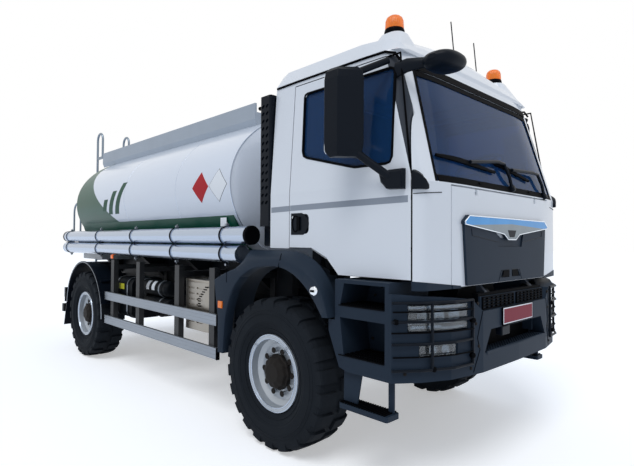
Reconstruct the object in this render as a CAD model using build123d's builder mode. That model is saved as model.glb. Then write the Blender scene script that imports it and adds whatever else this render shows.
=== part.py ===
"""Two-axle all-wheel-drive road tanker: tilting day cab, oval tank, hose tubes and running gear.

Millimetres. X points forward, Y to the left and Z up; the tyres stand on Z = 0.
"""

import os
from math import cos, degrees, atan2, hypot, radians, sin, sqrt, tan

from build123d import *

os.makedirs("parts", exist_ok=True)

SIDES = (("right", -1), ("left", 1))

# Fits
SEAT = 0.3  # gap between two pieces that sit on each other
RUN = 0.05  # radial running clearance of a pin or shaft

# Axles, wheels and tyres
WHEELBASE = 4100
FRONT_AXLE_X = 2000
REAR_AXLE_X = FRONT_AXLE_X - WHEELBASE
TYRE_R = 585
TYRE_HALF_W = 184
TREAD_DEPTH = 24
TREAD_HALF_W = 164
LUG_COUNT = 22
LUG_W = 92
LUG_INNER = 26  # from the tyre's middle plane
LUG_OUTER = 174
# Crown of the tread: distance from the middle plane and drop below the tyre's radius.
CROWN = ((0, 0), (130, 5), (160, 12), (TYRE_HALF_W + 1, 30))
WHEEL_Y = 1066
AXLE_Z = TYRE_R
BEAD_R = 275
FLANGE_R = 298
RIM_HALF_W = 146
RIM_WALL = 14
DISC_U = 62
DISC_T = 16
STUD_R = 168
STUD_COUNT = 10
NUT_R = 17
NUT_H = 26
HUB_R = 118
HUB_END_U = 150
SPINDLE_R = 60
SPINDLE_END_U = 40
DRUM_R = 190
DRUM_IN_U = -106

# Steering
KINGPIN_Y = 900
KINGPIN_R = 16
KNUCKLE_BOSS_R = 34
KNUCKLE_H = 94
KNUCKLE_PLATE = 28
KNUCKLE_WEB_Y = 938
KNUCKLE_WEB_T = 14
STEER_ARM = 205
BALL_R = 12
TIE_ROD_R = 17

# Axle beams and springs
BEAM_R = 74
BEAM_END_R = 45
BEAM_STEP_Y = 770
DIFF_R = 140
NOSE_Z = 650  # pinion housings of both axles
NOSE_R = 56
FRONT_NOSE_X = FRONT_AXLE_X - 165
REAR_NOSE_X = REAR_AXLE_X + 235
SPRING_Y = 390
SPRING_W = 70
SPRING_HALF_L = 720
SPRING_TOP = 735
SPRING_LOW = 675
SPRING_END_Z = 762
EYE_R = 26

# Frame
RAIL_OUT_Y = 430
RAIL_W = 80
RAIL_T = 9
RAIL_BOTTOM = 800
RAIL_TOP = 1050
RAIL_REAR_X = -3150
RAIL_FRONT_X = 3180
YOKE_X = 1870
CROSS_R = 55
JAW_X = -3210
JAW_Z = 925
JAW_H = 120
JAW_BORE_R = 20
CROSS_X = (3120, 420, -1000, -3050)

# Cab
CAB_REAR_X = 1840
CAB_HALF_W = 1110
CAB_WALL = 55
CAB_TOP = 2885
CAB_FRONT_X = 3312
CAB_BOW = 55  # how far the front falls back from its flat middle to a flank
CAB_FLAT_Y = 560
CAB_SILL = 1365
CAB_FRONT_LOW = CAB_SILL - 50
CAB_REAR_SILL = CAB_SILL + 187
CAB_TOP_HALF_W = 1050
SCREEN_LOW_Z = 1985
BELT_Z = SCREEN_LOW_Z  # above it the flanks lean in
SCREEN_TOP_X = 3084
SCREEN_TOP_Z = 2775
CAB_BROW_X = 3046
SCREEN_SET = 4  # how far the glass lies behind the panels round it
SCREEN_T = 10
CORNER_R = 90
ARCH_X = (2321, 2478, 2596)
ARCH_MID_Z = CAB_SILL + 118
SHUT = 8  # shut line between a door and the cab
FLOOR_Z = CAB_SILL + 55

# Doors
DOOR_REAR_X = 2078
DOOR_FRONT_X = 3204
DOOR_TOP = 2832
DOOR_TOP_FRONT_X = 3078
DOOR_SHOULDER_Z = 1985
HINGE_X = 3190
HINGE_Y = 1094
HINGE_PIN_R = 7
HINGE_ARM_R = 9
DOOR_CHAMFER = 8
HINGE_Z = (1560, 1880)
HINGE_H = 30
PANE_T = 6
DOOR_IN_Y = 985  # every door cut runs from here
DOOR_OUT_Y = 1175
WINDOW_R = 38

# Tilt pivot
TILT_X = 3300
TILT_Z = 1250
TILT_PIN_R = 18
TILT_LUG_R = 32

# Front flap
FLAP_HALF_W = 800
FLAP_TOP = 1970
FLAP_T = 22
FLAP_PIVOT_Z = FLAP_TOP - 8
FLAP_PIN_R = 5
FLAP_PIN_Y = 500
FLAP_PROUD = 4  # how far the flap stands in front of the cab
RECESS = 29

# Tank
TANK_Z = 2140
TANK_HALF_W = 1110
TANK_HALF_H = 780
TANK_FRONT_X = 1250
TANK_REAR_X = -2850
HEAD_BULGE = 170
CRADLE_X = (980, -150, -1350, -2790)
CRADLE_T = 80
TUBE_Y = 1135
TUBE_R = 79
TUBE_TOP_Z = 1656
TUBE_LOW_Z = 1492
TUBE_REAR_X = -3120
TUBE_TOP_FRONT_X = 1630
TUBE_LOW_FRONT_X = 1485
STRAP_X = (1250, 330, -660, -1760, -2960)

# Bumper, lamps and steps
BUMPER_LOW = 745
BUMPER_TOP = 1290
BUMPER_T = 110
BUMPER_REAR_X = 3105
BUMPER_CENTRE_HALF = 530
BUMPER_CENTRE_TOP = 1150
NOSE_X = (3396, 3386, 3330, 3236, 3125)  # bumper's front line, from the middle out
NOSE_Y = (0, 540, 850, 1050, 1200)
LAMP_Y = (700, 1110)
LAMP_Z = (1052, 1222)
STEP_Y = 1200
STEP_IN_Y = 760

# Fenders
FENDER_Y = 1250
FENDER_IN_Y = 1118
TUB_IN_Y = 885
TUB_T = 12

# Side guards
GUARD_Y = 1200
GUARD_T = 28
GUARD_POST_T = 60
GUARD_X = (-1450, 1200)
GUARD_TOP_Z = (840, 940)
GUARD_LOW_Z = (538, 640)
POST_X = (-1270, -520, 405, 1065)
POST_TOP = 1355
POST_W = 90


def save(piece, name):
    """Label one finished piece and write it as its own file."""
    piece.label = name
    export_step(piece, f"parts/{name}.step")


def slab(side, near, far):
    """Upright plane along X from which a positive extrusion of far - near fills that band."""
    return Plane.XZ.offset(-max(side * near, side * far))


def wheel_plane(x, side):
    """Plane through a wheel's axis: x points out along the axis, y up."""
    return Plane(origin=(x, side * WHEEL_Y, AXLE_Z), x_dir=(0, side, 0), z_dir=(side, 0, 0))


CORNERS = (("front", FRONT_AXLE_X), ("rear", REAR_AXLE_X))

# Wheels and tyres ------------------------------------------------------------
for end, axle_x in CORNERS:
    for hand, side in SIDES:
        axis = Axis((axle_x, 0, AXLE_Z), (0, 1, 0))
        groove_r = TYRE_R - TREAD_DEPTH
        with BuildPart() as tyre:
            with BuildSketch(wheel_plane(axle_x, side)):
                with BuildLine():
                    Polyline(
                        (-RIM_HALF_W + 12, BEAD_R),
                        (-RIM_HALF_W + 12, FLANGE_R + 2),
                        (-TYRE_HALF_W, 400),
                        (-TYRE_HALF_W, 470),
                        (-TREAD_HALF_W, groove_r - 12),
                        (-TREAD_HALF_W + 30, groove_r),
                        (TREAD_HALF_W - 30, groove_r),
                        (TREAD_HALF_W, groove_r - 12),
                        (TYRE_HALF_W, 470),
                        (TYRE_HALF_W, 400),
                        (RIM_HALF_W - 12, FLANGE_R + 2),
                        (RIM_HALF_W - 12, BEAD_R),
                        close=True,
                    )
                make_face()
            revolve(axis=axis)
            for row, turn in ((-1, 0), (1, 180 / LUG_COUNT)):
                lug_side = row * side
                lug_y = side * WHEEL_Y + lug_side * LUG_INNER
                lug_plane = Plane(
                    origin=(axle_x, lug_y, AXLE_Z), x_dir=(1, 0, 0), z_dir=(0, lug_side, 0)
                )
                with BuildSketch(lug_plane):
                    with PolarLocations(TYRE_R - 44, LUG_COUNT, start_angle=turn):
                        Rectangle(100, LUG_W)
                    Circle(TYRE_R, mode=Mode.INTERSECT)
                extrude(amount=LUG_OUTER - LUG_INNER)
            # the lugs' tops follow the crown
            with BuildPart(mode=Mode.PRIVATE) as envelope:
                with BuildSketch(wheel_plane(axle_x, side)):
                    with BuildLine():
                        crown = [(u, TYRE_R - drop) for u, drop in CROWN]
                        crown = [(-u, r) for u, r in reversed(crown)] + crown[1:]
                        Polyline(*crown, (crown[-1][0], 0), (crown[0][0], 0), close=True)
                    make_face()
                revolve(axis=axis)
            add(envelope.part, mode=Mode.INTERSECT)
        save(tyre.part, f"tyre_{end}_{hand}")

        with BuildPart() as wheel:
            with BuildSketch(wheel_plane(axle_x, side)):
                with BuildLine():
                    Polyline(
                        (SPINDLE_END_U + 2, 0),
                        (SPINDLE_END_U + 2, SPINDLE_R + RUN),
                        (DRUM_IN_U + 2, SPINDLE_R + RUN),
                        (DRUM_IN_U + 2, DRUM_R),
                        (DISC_U - DISC_T, DRUM_R),
                        (DISC_U - 4 * DISC_T, BEAD_R - RIM_WALL),
                        (-RIM_HALF_W, BEAD_R - RIM_WALL),
                        (-RIM_HALF_W, FLANGE_R),
                        (-RIM_HALF_W + 10, FLANGE_R),
                        (-RIM_HALF_W + 10, BEAD_R - SEAT),
                        (RIM_HALF_W - 10, BEAD_R - SEAT),
                        (RIM_HALF_W - 10, FLANGE_R),
                        (RIM_HALF_W, FLANGE_R),
                        (RIM_HALF_W, BEAD_R - RIM_WALL),
                        (DISC_U + 26, BEAD_R - RIM_WALL - 6),
                        (DISC_U, 215),
                        (DISC_U, HUB_R),
                        (DISC_U + 40, HUB_R),
                        (HUB_END_U - 22, HUB_R - 12),
                        (HUB_END_U - 8, 62),
                        (HUB_END_U, 56),
                        (HUB_END_U, 0),
                        close=True,
                    )
                make_face()
            revolve(axis=axis)
            stud_y = side * (WHEEL_Y + DISC_U)
            stud_plane = Plane(
                origin=(axle_x, stud_y, AXLE_Z), x_dir=(1, 0, 0), z_dir=(0, side, 0)
            )
            with BuildSketch(stud_plane):
                with PolarLocations(STUD_R, STUD_COUNT):
                    RegularPolygon(NUT_R, 6)
            extrude(amount=NUT_H)
        save(wheel.part, f"wheel_{end}_{hand}")

# Axles -----------------------------------------------------------------------
with BuildPart() as front_axle:
    front_line = Axis((FRONT_AXLE_X, 0, AXLE_Z), (0, 1, 0))
    with BuildSketch(Plane(origin=(FRONT_AXLE_X, 0, AXLE_Z), x_dir=(0, 1, 0), z_dir=(1, 0, 0))):
        with BuildLine():
            Polyline(
                (-KINGPIN_Y + 10, 0),
                (-KINGPIN_Y + 10, BEAM_END_R),
                (-BEAM_STEP_Y, BEAM_END_R),
                (-BEAM_STEP_Y + 60, BEAM_R),
                (-210, BEAM_R),
                (-90, DIFF_R),
                (90, DIFF_R),
                (210, BEAM_R),
                (BEAM_STEP_Y - 60, BEAM_R),
                (BEAM_STEP_Y, BEAM_END_R),
                (KINGPIN_Y - 10, BEAM_END_R),
                (KINGPIN_Y - 10, 0),
                close=True,
            )
        make_face()
    revolve(axis=front_line)
    with BuildSketch(Plane.YZ.offset(FRONT_NOSE_X)):
        with Locations((0, NOSE_Z)):
            Circle(NOSE_R)
    extrude(amount=120)
    for hand, side in SIDES:
        boss = Plane.XY.offset(AXLE_Z - KNUCKLE_H + SEAT)
        with BuildSketch(boss):
            with Locations((FRONT_AXLE_X, side * KINGPIN_Y)):
                Circle(KNUCKLE_BOSS_R)
        extrude(amount=2 * KNUCKLE_H - 2 * SEAT)
        with BuildSketch(boss):
            with Locations((FRONT_AXLE_X, side * KINGPIN_Y)):
                Circle(KINGPIN_R + RUN)
        extrude(amount=2 * KNUCKLE_H, mode=Mode.SUBTRACT)
        with BuildSketch(Plane.XY.offset(AXLE_Z)):
            with Locations((FRONT_AXLE_X, side * SPRING_Y)):
                Rectangle(150, SPRING_W + 20)
        extrude(amount=SPRING_LOW - AXLE_Z)
    for hand, side in SIDES:
        with BuildSketch(Plane.XZ.offset(-side * SPRING_Y - SPRING_W / 2)):
            with BuildLine():
                near = (FRONT_AXLE_X - SPRING_HALF_L, SPRING_END_Z + 8)
                far = (FRONT_AXLE_X + SPRING_HALF_L, SPRING_END_Z + 8)
                ThreePointArc(near, (FRONT_AXLE_X, SPRING_TOP), far)
                Polyline(
                    far,
                    (far[0], far[1] - 16),
                    (FRONT_AXLE_X + 260, SPRING_LOW),
                    (FRONT_AXLE_X - 260, SPRING_LOW),
                    (near[0], near[1] - 16),
                    near,
                )
            make_face()
            with Locations((near[0], SPRING_END_Z), (far[0], SPRING_END_Z)):
                Circle(EYE_R)
        extrude(amount=SPRING_W)
save(front_axle.part, "front_axle")

with BuildPart() as rear_axle:
    rear_line = Axis((REAR_AXLE_X, 0, AXLE_Z), (0, 1, 0))
    backplate_y = WHEEL_Y + DRUM_IN_U - 6
    spindle_y = WHEEL_Y + SPINDLE_END_U
    with BuildSketch(Plane(origin=(REAR_AXLE_X, 0, AXLE_Z), x_dir=(0, 1, 0), z_dir=(1, 0, 0))):
        with BuildLine():
            Polyline(
                (0, 0),
                (0, DIFF_R + 30),
                (90, DIFF_R + 30),
                (230, BEAM_R),
                (backplate_y - 12, BEAM_R),
                (backplate_y - 12, DRUM_R - 10),
                (backplate_y, DRUM_R - 10),
                (backplate_y, SPINDLE_R),
                (spindle_y, SPINDLE_R),
                (spindle_y, 0),
                close=True,
            )
        make_face()
        mirror(about=Plane.YZ)
    revolve(axis=rear_line)
    with BuildSketch(Plane.YZ.offset(REAR_NOSE_X)):
        with Locations((0, NOSE_Z)):
            Circle(NOSE_R)
    extrude(amount=-150)
    for hand, side in SIDES:
        with BuildSketch(Plane.XY.offset(AXLE_Z)):
            with Locations((REAR_AXLE_X, side * SPRING_Y)):
                Rectangle(150, SPRING_W + 20)
        extrude(amount=SPRING_LOW - AXLE_Z)
        with BuildSketch(Plane.XZ.offset(-side * SPRING_Y - SPRING_W / 2)):
            with BuildLine():
                near = (REAR_AXLE_X - SPRING_HALF_L, SPRING_END_Z + 8)
                far = (REAR_AXLE_X + SPRING_HALF_L, SPRING_END_Z + 8)
                ThreePointArc(near, (REAR_AXLE_X, SPRING_TOP), far)
                Polyline(
                    far,
                    (far[0], far[1] - 16),
                    (REAR_AXLE_X + 260, SPRING_LOW),
                    (REAR_AXLE_X - 260, SPRING_LOW),
                    (near[0], near[1] - 16),
                    near,
                )
            make_face()
            with Locations((near[0], SPRING_END_Z), (far[0], SPRING_END_Z)):
                Circle(EYE_R)
        extrude(amount=SPRING_W)
save(rear_axle.part, "rear_axle")

# Steering knuckles and tie rod -------------------------------------------------
for hand, side in SIDES:
    with BuildPart() as knuckle:
        web_mid = KNUCKLE_WEB_Y + KNUCKLE_WEB_T / 2
        with BuildSketch(Plane.XY.offset(AXLE_Z - KNUCKLE_H - KNUCKLE_PLATE)):
            with Locations((FRONT_AXLE_X, side * web_mid)):
                Rectangle(130, KNUCKLE_WEB_T)
        extrude(amount=2 * (KNUCKLE_H + KNUCKLE_PLATE))
        for low in (AXLE_Z - KNUCKLE_H - KNUCKLE_PLATE, AXLE_Z + KNUCKLE_H):
            with BuildSketch(Plane.XY.offset(low)):
                with Locations((FRONT_AXLE_X, side * (KINGPIN_Y + KNUCKLE_WEB_Y) / 2)):
                    Rectangle(88, KNUCKLE_WEB_Y - KINGPIN_Y)
                with Locations((FRONT_AXLE_X, side * KINGPIN_Y)):
                    Circle(44)
            extrude(amount=KNUCKLE_PLATE)
        with BuildSketch(Plane.XY.offset(AXLE_Z - KNUCKLE_H - KNUCKLE_PLATE)):
            with Locations((FRONT_AXLE_X, side * KINGPIN_Y)):
                Circle(KINGPIN_R)
        extrude(amount=2 * (KNUCKLE_H + KNUCKLE_PLATE))
        spindle = Plane(
            origin=(FRONT_AXLE_X, side * KNUCKLE_WEB_Y, AXLE_Z), x_dir=(1, 0, 0), z_dir=(0, side, 0)
        )
        with BuildSketch(spindle):
            Circle(SPINDLE_R)
        extrude(amount=WHEEL_Y + SPINDLE_END_U - KNUCKLE_WEB_Y)
        arm_z = AXLE_Z - 15
        with BuildSketch(Plane.XY.offset(arm_z)):
            with BuildLine():
                Polyline(
                    (FRONT_AXLE_X - 55, side * (KNUCKLE_WEB_Y + KNUCKLE_WEB_T)),
                    (FRONT_AXLE_X - 55, side * KNUCKLE_WEB_Y),
                    (FRONT_AXLE_X - 88, side * 888),
                    (FRONT_AXLE_X - STEER_ARM, side * 884),
                    (FRONT_AXLE_X - STEER_ARM, side * 916),
                    (FRONT_AXLE_X - 118, side * (KNUCKLE_WEB_Y + KNUCKLE_WEB_T)),
                    close=True,
                )
            make_face()
            with Locations((FRONT_AXLE_X - STEER_ARM, side * KINGPIN_Y)):
                Circle(25)
                Circle(BALL_R + RUN, mode=Mode.SUBTRACT)
        extrude(amount=30)
    save(knuckle.part, f"knuckle_{hand}")

with BuildPart() as tie_rod:
    rod_z = AXLE_Z - 15 - SEAT - 2 * TIE_ROD_R
    with BuildSketch(Plane.XY.offset(rod_z)):
        with Locations((FRONT_AXLE_X - STEER_ARM, 0)):
            SlotCenterToCenter(2 * KINGPIN_Y, 2 * TIE_ROD_R, rotation=90)
    extrude(amount=2 * TIE_ROD_R)
    for hand, side in SIDES:
        with BuildSketch(Plane.XY.offset(rod_z)):
            with Locations((FRONT_AXLE_X - STEER_ARM, side * KINGPIN_Y)):
                Circle(BALL_R)
        extrude(amount=2 * TIE_ROD_R + 34)
save(tie_rod.part, "tie_rod")

# Ladder frame ------------------------------------------------------------------
with BuildPart() as chassis_frame:
    rail_len = RAIL_FRONT_X - RAIL_REAR_X
    rail_mid_x = (RAIL_FRONT_X + RAIL_REAR_X) / 2
    for hand, side in SIDES:
        with BuildSketch(Plane.YZ.offset(RAIL_REAR_X)):
            with BuildLine():
                y0, y1, y2 = RAIL_OUT_Y - RAIL_W, RAIL_OUT_Y - RAIL_T, RAIL_OUT_Y
                Polyline(
                    (side * y0, RAIL_BOTTOM),
                    (side * y2, RAIL_BOTTOM),
                    (side * y2, RAIL_TOP),
                    (side * y0, RAIL_TOP),
                    (side * y0, RAIL_TOP - RAIL_T),
                    (side * y1, RAIL_TOP - RAIL_T),
                    (side * y1, RAIL_BOTTOM + RAIL_T),
                    (side * y0, RAIL_BOTTOM + RAIL_T),
                    close=True,
                )
            make_face()
        extrude(amount=rail_len)
    # tubes from web to web
    rail_mid_z = (RAIL_BOTTOM + RAIL_TOP) / 2
    between_webs = RAIL_OUT_Y - RAIL_T - SEAT
    for cross_x in CROSS_X:
        with BuildSketch(Plane(origin=(cross_x, -between_webs, rail_mid_z), x_dir=(1, 0, 0),
                               z_dir=(0, 1, 0))):
            Circle(CROSS_R)
            Circle(CROSS_R - 12, mode=Mode.SUBTRACT)
        extrude(amount=2 * between_webs)
    for axle_x in (FRONT_AXLE_X, REAR_AXLE_X):
        for hand, side in SIDES:
            for toward in (-1, 1):
                eye_x = axle_x + toward * SPRING_HALF_L
                with BuildSketch(Plane.XY.offset(SPRING_END_Z + EYE_R + SEAT)):
                    with Locations((eye_x, side * SPRING_Y)):
                        Rectangle(110, SPRING_W)
                extrude(amount=RAIL_BOTTOM - SPRING_END_Z - EYE_R - 2 * SEAT)
    # towers that carry the cab's tilt pins
    for hand, side in SIDES:
        with BuildSketch(Plane.XZ.offset(-side * 345 - 15)):
            with BuildLine():
                Polyline(
                    (3120, RAIL_TOP + SEAT),
                    (RAIL_FRONT_X, RAIL_TOP + SEAT),
                    (RAIL_FRONT_X + 22, 1158),
                    (TILT_X + 30, TILT_Z - 24),
                    (TILT_X + 30, TILT_Z + 12),
                    (TILT_X + 12, TILT_Z + 31),
                    (TILT_X - 14, TILT_Z + 31),
                    (3120, 1120),
                    close=True,
                )
            make_face()
        extrude(amount=30)
        pin = Plane(origin=(TILT_X, side * 345, TILT_Z), x_dir=(1, 0, 0), z_dir=(0, side, 0))
        with BuildSketch(pin):
            Circle(TILT_PIN_R)
        extrude(amount=85)
    # rear beam and towing jaw
    with BuildSketch(Plane.XY.offset(JAW_Z - JAW_H / 2)):
        with Locations((RAIL_REAR_X + 25, 0)):
            Rectangle(50, 2 * between_webs)
        with Locations(((RAIL_REAR_X + JAW_X - 50) / 2 + 5, 0)):
            Rectangle(RAIL_REAR_X - JAW_X + 60, 90)
        with Locations((JAW_X, 0)):
            Circle(JAW_BORE_R, mode=Mode.SUBTRACT)
    extrude(amount=JAW_H)
    with BuildSketch(Plane.XY.offset(JAW_Z - 25)):
        with Locations((JAW_X - 10, 0)):
            Rectangle(90, 92)
    extrude(amount=50, mode=Mode.SUBTRACT)
    # yoke under the back of the cab
    with BuildSketch(Plane.YZ.offset(YOKE_X)):
        with BuildLine():
            Polyline(
                (-RAIL_OUT_Y, RAIL_TOP + SEAT),
                (-RAIL_OUT_Y + 70, RAIL_TOP + SEAT),
                (-430, CAB_REAR_SILL - 82),
                (430, CAB_REAR_SILL - 82),
                (RAIL_OUT_Y - 70, RAIL_TOP + SEAT),
                (RAIL_OUT_Y, RAIL_TOP + SEAT),
                (520, CAB_REAR_SILL - SEAT),
                (-520, CAB_REAR_SILL - SEAT),
                close=True,
            )
        make_face()
    extrude(amount=60)
save(chassis_frame.part, "chassis_frame")

# Engine, gearbox and drive shafts -----------------------------------------------
ENGINE_X = (2370, 3060)
ENGINE_TOP = CAB_SILL - 20
with BuildPart() as engine_block:
    with BuildSketch(Plane.YZ.offset(ENGINE_X[0])):
        with BuildLine():
            Polyline(
                (-190, 740), (190, 740), (330, 900), (330, ENGINE_TOP - 165), (230, ENGINE_TOP),
                (-230, ENGINE_TOP), (-330, ENGINE_TOP - 165), (-330, 900), close=True,
            )
        make_face()
    extrude(amount=ENGINE_X[1] - ENGINE_X[0])
    for hand, side in SIDES:
        with BuildSketch(Plane.XZ.offset(-side * 375 - 46)):
            with Locations((2700, 930)):
                Rectangle(90, 70)
        extrude(amount=92)
    with BuildSketch(Plane.YZ.offset(ENGINE_X[0])):
        with Locations((0, 930)):
            Circle(200)
    extrude(amount=-700, taper=6)
save(engine_block.part, "engine_block")

SHAFT_R = 42
TRANSFER_X = (620, 980)
with BuildPart() as driveline:
    with BuildSketch(Plane.YZ.offset(TRANSFER_X[0])):
        with BuildLine():
            Polyline(
                (-170, 620), (170, 620), (230, 760), (230, 900), (150, 1000), (-150, 1000),
                (-230, 900), (-230, 760), close=True,
            )
        make_face()
    extrude(amount=TRANSFER_X[1] - TRANSFER_X[0])
    for hand, side in SIDES:
        with BuildSketch(Plane.XZ.offset(-side * 320 - 101)):
            with Locations((800, 860)):
                Rectangle(120, 60)
        extrude(amount=202)
    for x0, z0, x1, z1 in (
        (TRANSFER_X[1], 700, FRONT_NOSE_X - SEAT, NOSE_Z),
        (TRANSFER_X[0], 700, REAR_NOSE_X + SEAT, NOSE_Z),
        (TRANSFER_X[1], 915, 1670 - SEAT, 915),
    ):
        way = 1 if x1 > x0 else -1
        run = Plane(
            origin=(x0 - way * 20, 0, z0), x_dir=(0, 1, 0), z_dir=(x1 - x0 - way * 20, 0, z1 - z0)
        )
        with BuildSketch(run):
            Circle(SHAFT_R)
        extrude(amount=hypot(x1 - x0 - way * 10, z1 - z0))
        with BuildSketch(Plane.YZ.offset(x1)):
            with Locations((0, z1)):
                Circle(SHAFT_R + 12)
        extrude(amount=-way * 24)
save(driveline.part, "driveline")

# Cab -----------------------------------------------------------------------------
# Underside of the cab, from the back forward, closed well above and in front of it.
CAB_UNDER = (
    (CAB_REAR_X - 50, CAB_REAR_SILL),
    (ARCH_X[0], CAB_REAR_SILL),
    (ARCH_X[1], ARCH_MID_Z),
    (ARCH_X[2], CAB_SILL),
    (3235, CAB_SILL),
    (3262, CAB_FRONT_LOW),
    (CAB_FRONT_X + 100, CAB_FRONT_LOW),
    (CAB_FRONT_X + 100, CAB_TOP + 100),
    (CAB_REAR_X - 50, CAB_TOP + 100),
)
CAB_FLOOR = (
    (CAB_REAR_X - 50, CAB_REAR_SILL + CAB_WALL),
    (ARCH_X[0] + 20, CAB_REAR_SILL + CAB_WALL),
    (ARCH_X[1] + 30, ARCH_MID_Z + CAB_WALL),
    (ARCH_X[2] + 25, FLOOR_Z),
    (CAB_FRONT_X + 100, FLOOR_Z),
    (CAB_FRONT_X + 100, CAB_TOP + 100),
    (CAB_REAR_X - 50, CAB_TOP + 100),
)
# Height and X of the front's flat middle.
FRONT_LINE = (
    (CAB_FRONT_LOW, CAB_FRONT_X),
    (SCREEN_LOW_Z, CAB_FRONT_X),
    (SCREEN_TOP_Z, SCREEN_TOP_X),
    (CAB_TOP, CAB_BROW_X),
)
LEAN = (CAB_HALF_W - CAB_TOP_HALF_W) / (CAB_TOP - BELT_Z)


def cab_half_width(z, inset=0):
    """Half width of the cab at height z, less an inset."""
    return CAB_HALF_W - inset - max(0, z - BELT_Z) * LEAN


def cab_form(inset, top_x=CAB_BROW_X, top_z=CAB_TOP):
    """Solid inside the cab's front and flanks, set in by inset and open to any floor."""
    with BuildPart(mode=Mode.PRIVATE) as form:
        for z, x in (*FRONT_LINE[:-1], (top_z, top_x)):
            front = x - inset
            corner = front - CAB_BOW
            rear = CAB_REAR_X + inset
            half = cab_half_width(z, inset)
            with BuildSketch(Plane.XY.offset(z)):
                with BuildLine():
                    Line((front, -CAB_FLAT_Y), (front, CAB_FLAT_Y))
                    TangentArc((front, CAB_FLAT_Y), (corner, half), tangent=(0, 1))
                    Polyline((corner, half), (rear, half), (rear, -half), (corner, -half))
                    TangentArc((front, -CAB_FLAT_Y), (corner, -half), tangent=(0, -1))
                make_face()
                bends = [v for v in vertices() if abs(v.X - corner) < 1 and abs(v.Y) > half - 1]
                fillet(bends, CORNER_R - inset)
        loft(ruled=True)
    return form.part


def side_prism(outline):
    """Solid of a side outline, wider than the cab."""
    with BuildPart(mode=Mode.PRIVATE) as prism:
        with BuildSketch(Plane.XZ.offset(-CAB_HALF_W - 100)):
            with BuildLine():
                Polyline(*outline, close=True)
            make_face()
        extrude(amount=2 * CAB_HALF_W + 200)
    return prism.part


with BuildPart(mode=Mode.PRIVATE) as cab_outer:
    add(cab_form(0))
    add(side_prism(CAB_UNDER), mode=Mode.INTERSECT)

with BuildPart(mode=Mode.PRIVATE) as cab_void:
    add(cab_form(CAB_WALL, top_z=CAB_TOP + 1))
    add(side_prism(CAB_FLOOR), mode=Mode.INTERSECT)

# Door outline: bottom from the back forward, then up the front and back along the top.
DOOR_OUTLINE = (
    (DOOR_REAR_X, CAB_REAR_SILL + 8),
    (ARCH_X[0] + 2, CAB_REAR_SILL + 8),
    (ARCH_X[1] + 3, ARCH_MID_Z + 8),
    (ARCH_X[2] + 3, CAB_SILL + 8),
    (DOOR_FRONT_X, CAB_SILL + 8),
    (DOOR_FRONT_X, DOOR_SHOULDER_Z),
    (DOOR_TOP_FRONT_X, DOOR_TOP),
    (DOOR_REAR_X, DOOR_TOP),
)
WINDOW_OUTLINE = ((2195, 2745), (2203, 2256), (2730, 2118), (3050, 2116), (3042, 2742))
SCREEN_H = hypot(CAB_FRONT_X - SCREEN_TOP_X, SCREEN_TOP_Z - SCREEN_LOW_Z)
screen_plane = Plane(
    origin=(CAB_FRONT_X, 0, SCREEN_LOW_Z),
    x_dir=(0, 1, 0),
    z_dir=(SCREEN_TOP_Z - SCREEN_LOW_Z, 0, CAB_FRONT_X - SCREEN_TOP_X),
)
SCREEN_OUTLINE = ((-955, 16), (955, 16), (888, SCREEN_H - 14), (-888, SCREEN_H - 14))

COLUMN_L = 430
COLUMN_SHAFT_R = 12
WHEEL_RIM_R = 210
WHEEL_RIM_T = 15
column = Plane(origin=(2975, 540, 1880), x_dir=(0, 1, 0), z_dir=(-0.36, 0, 0.93))
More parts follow.
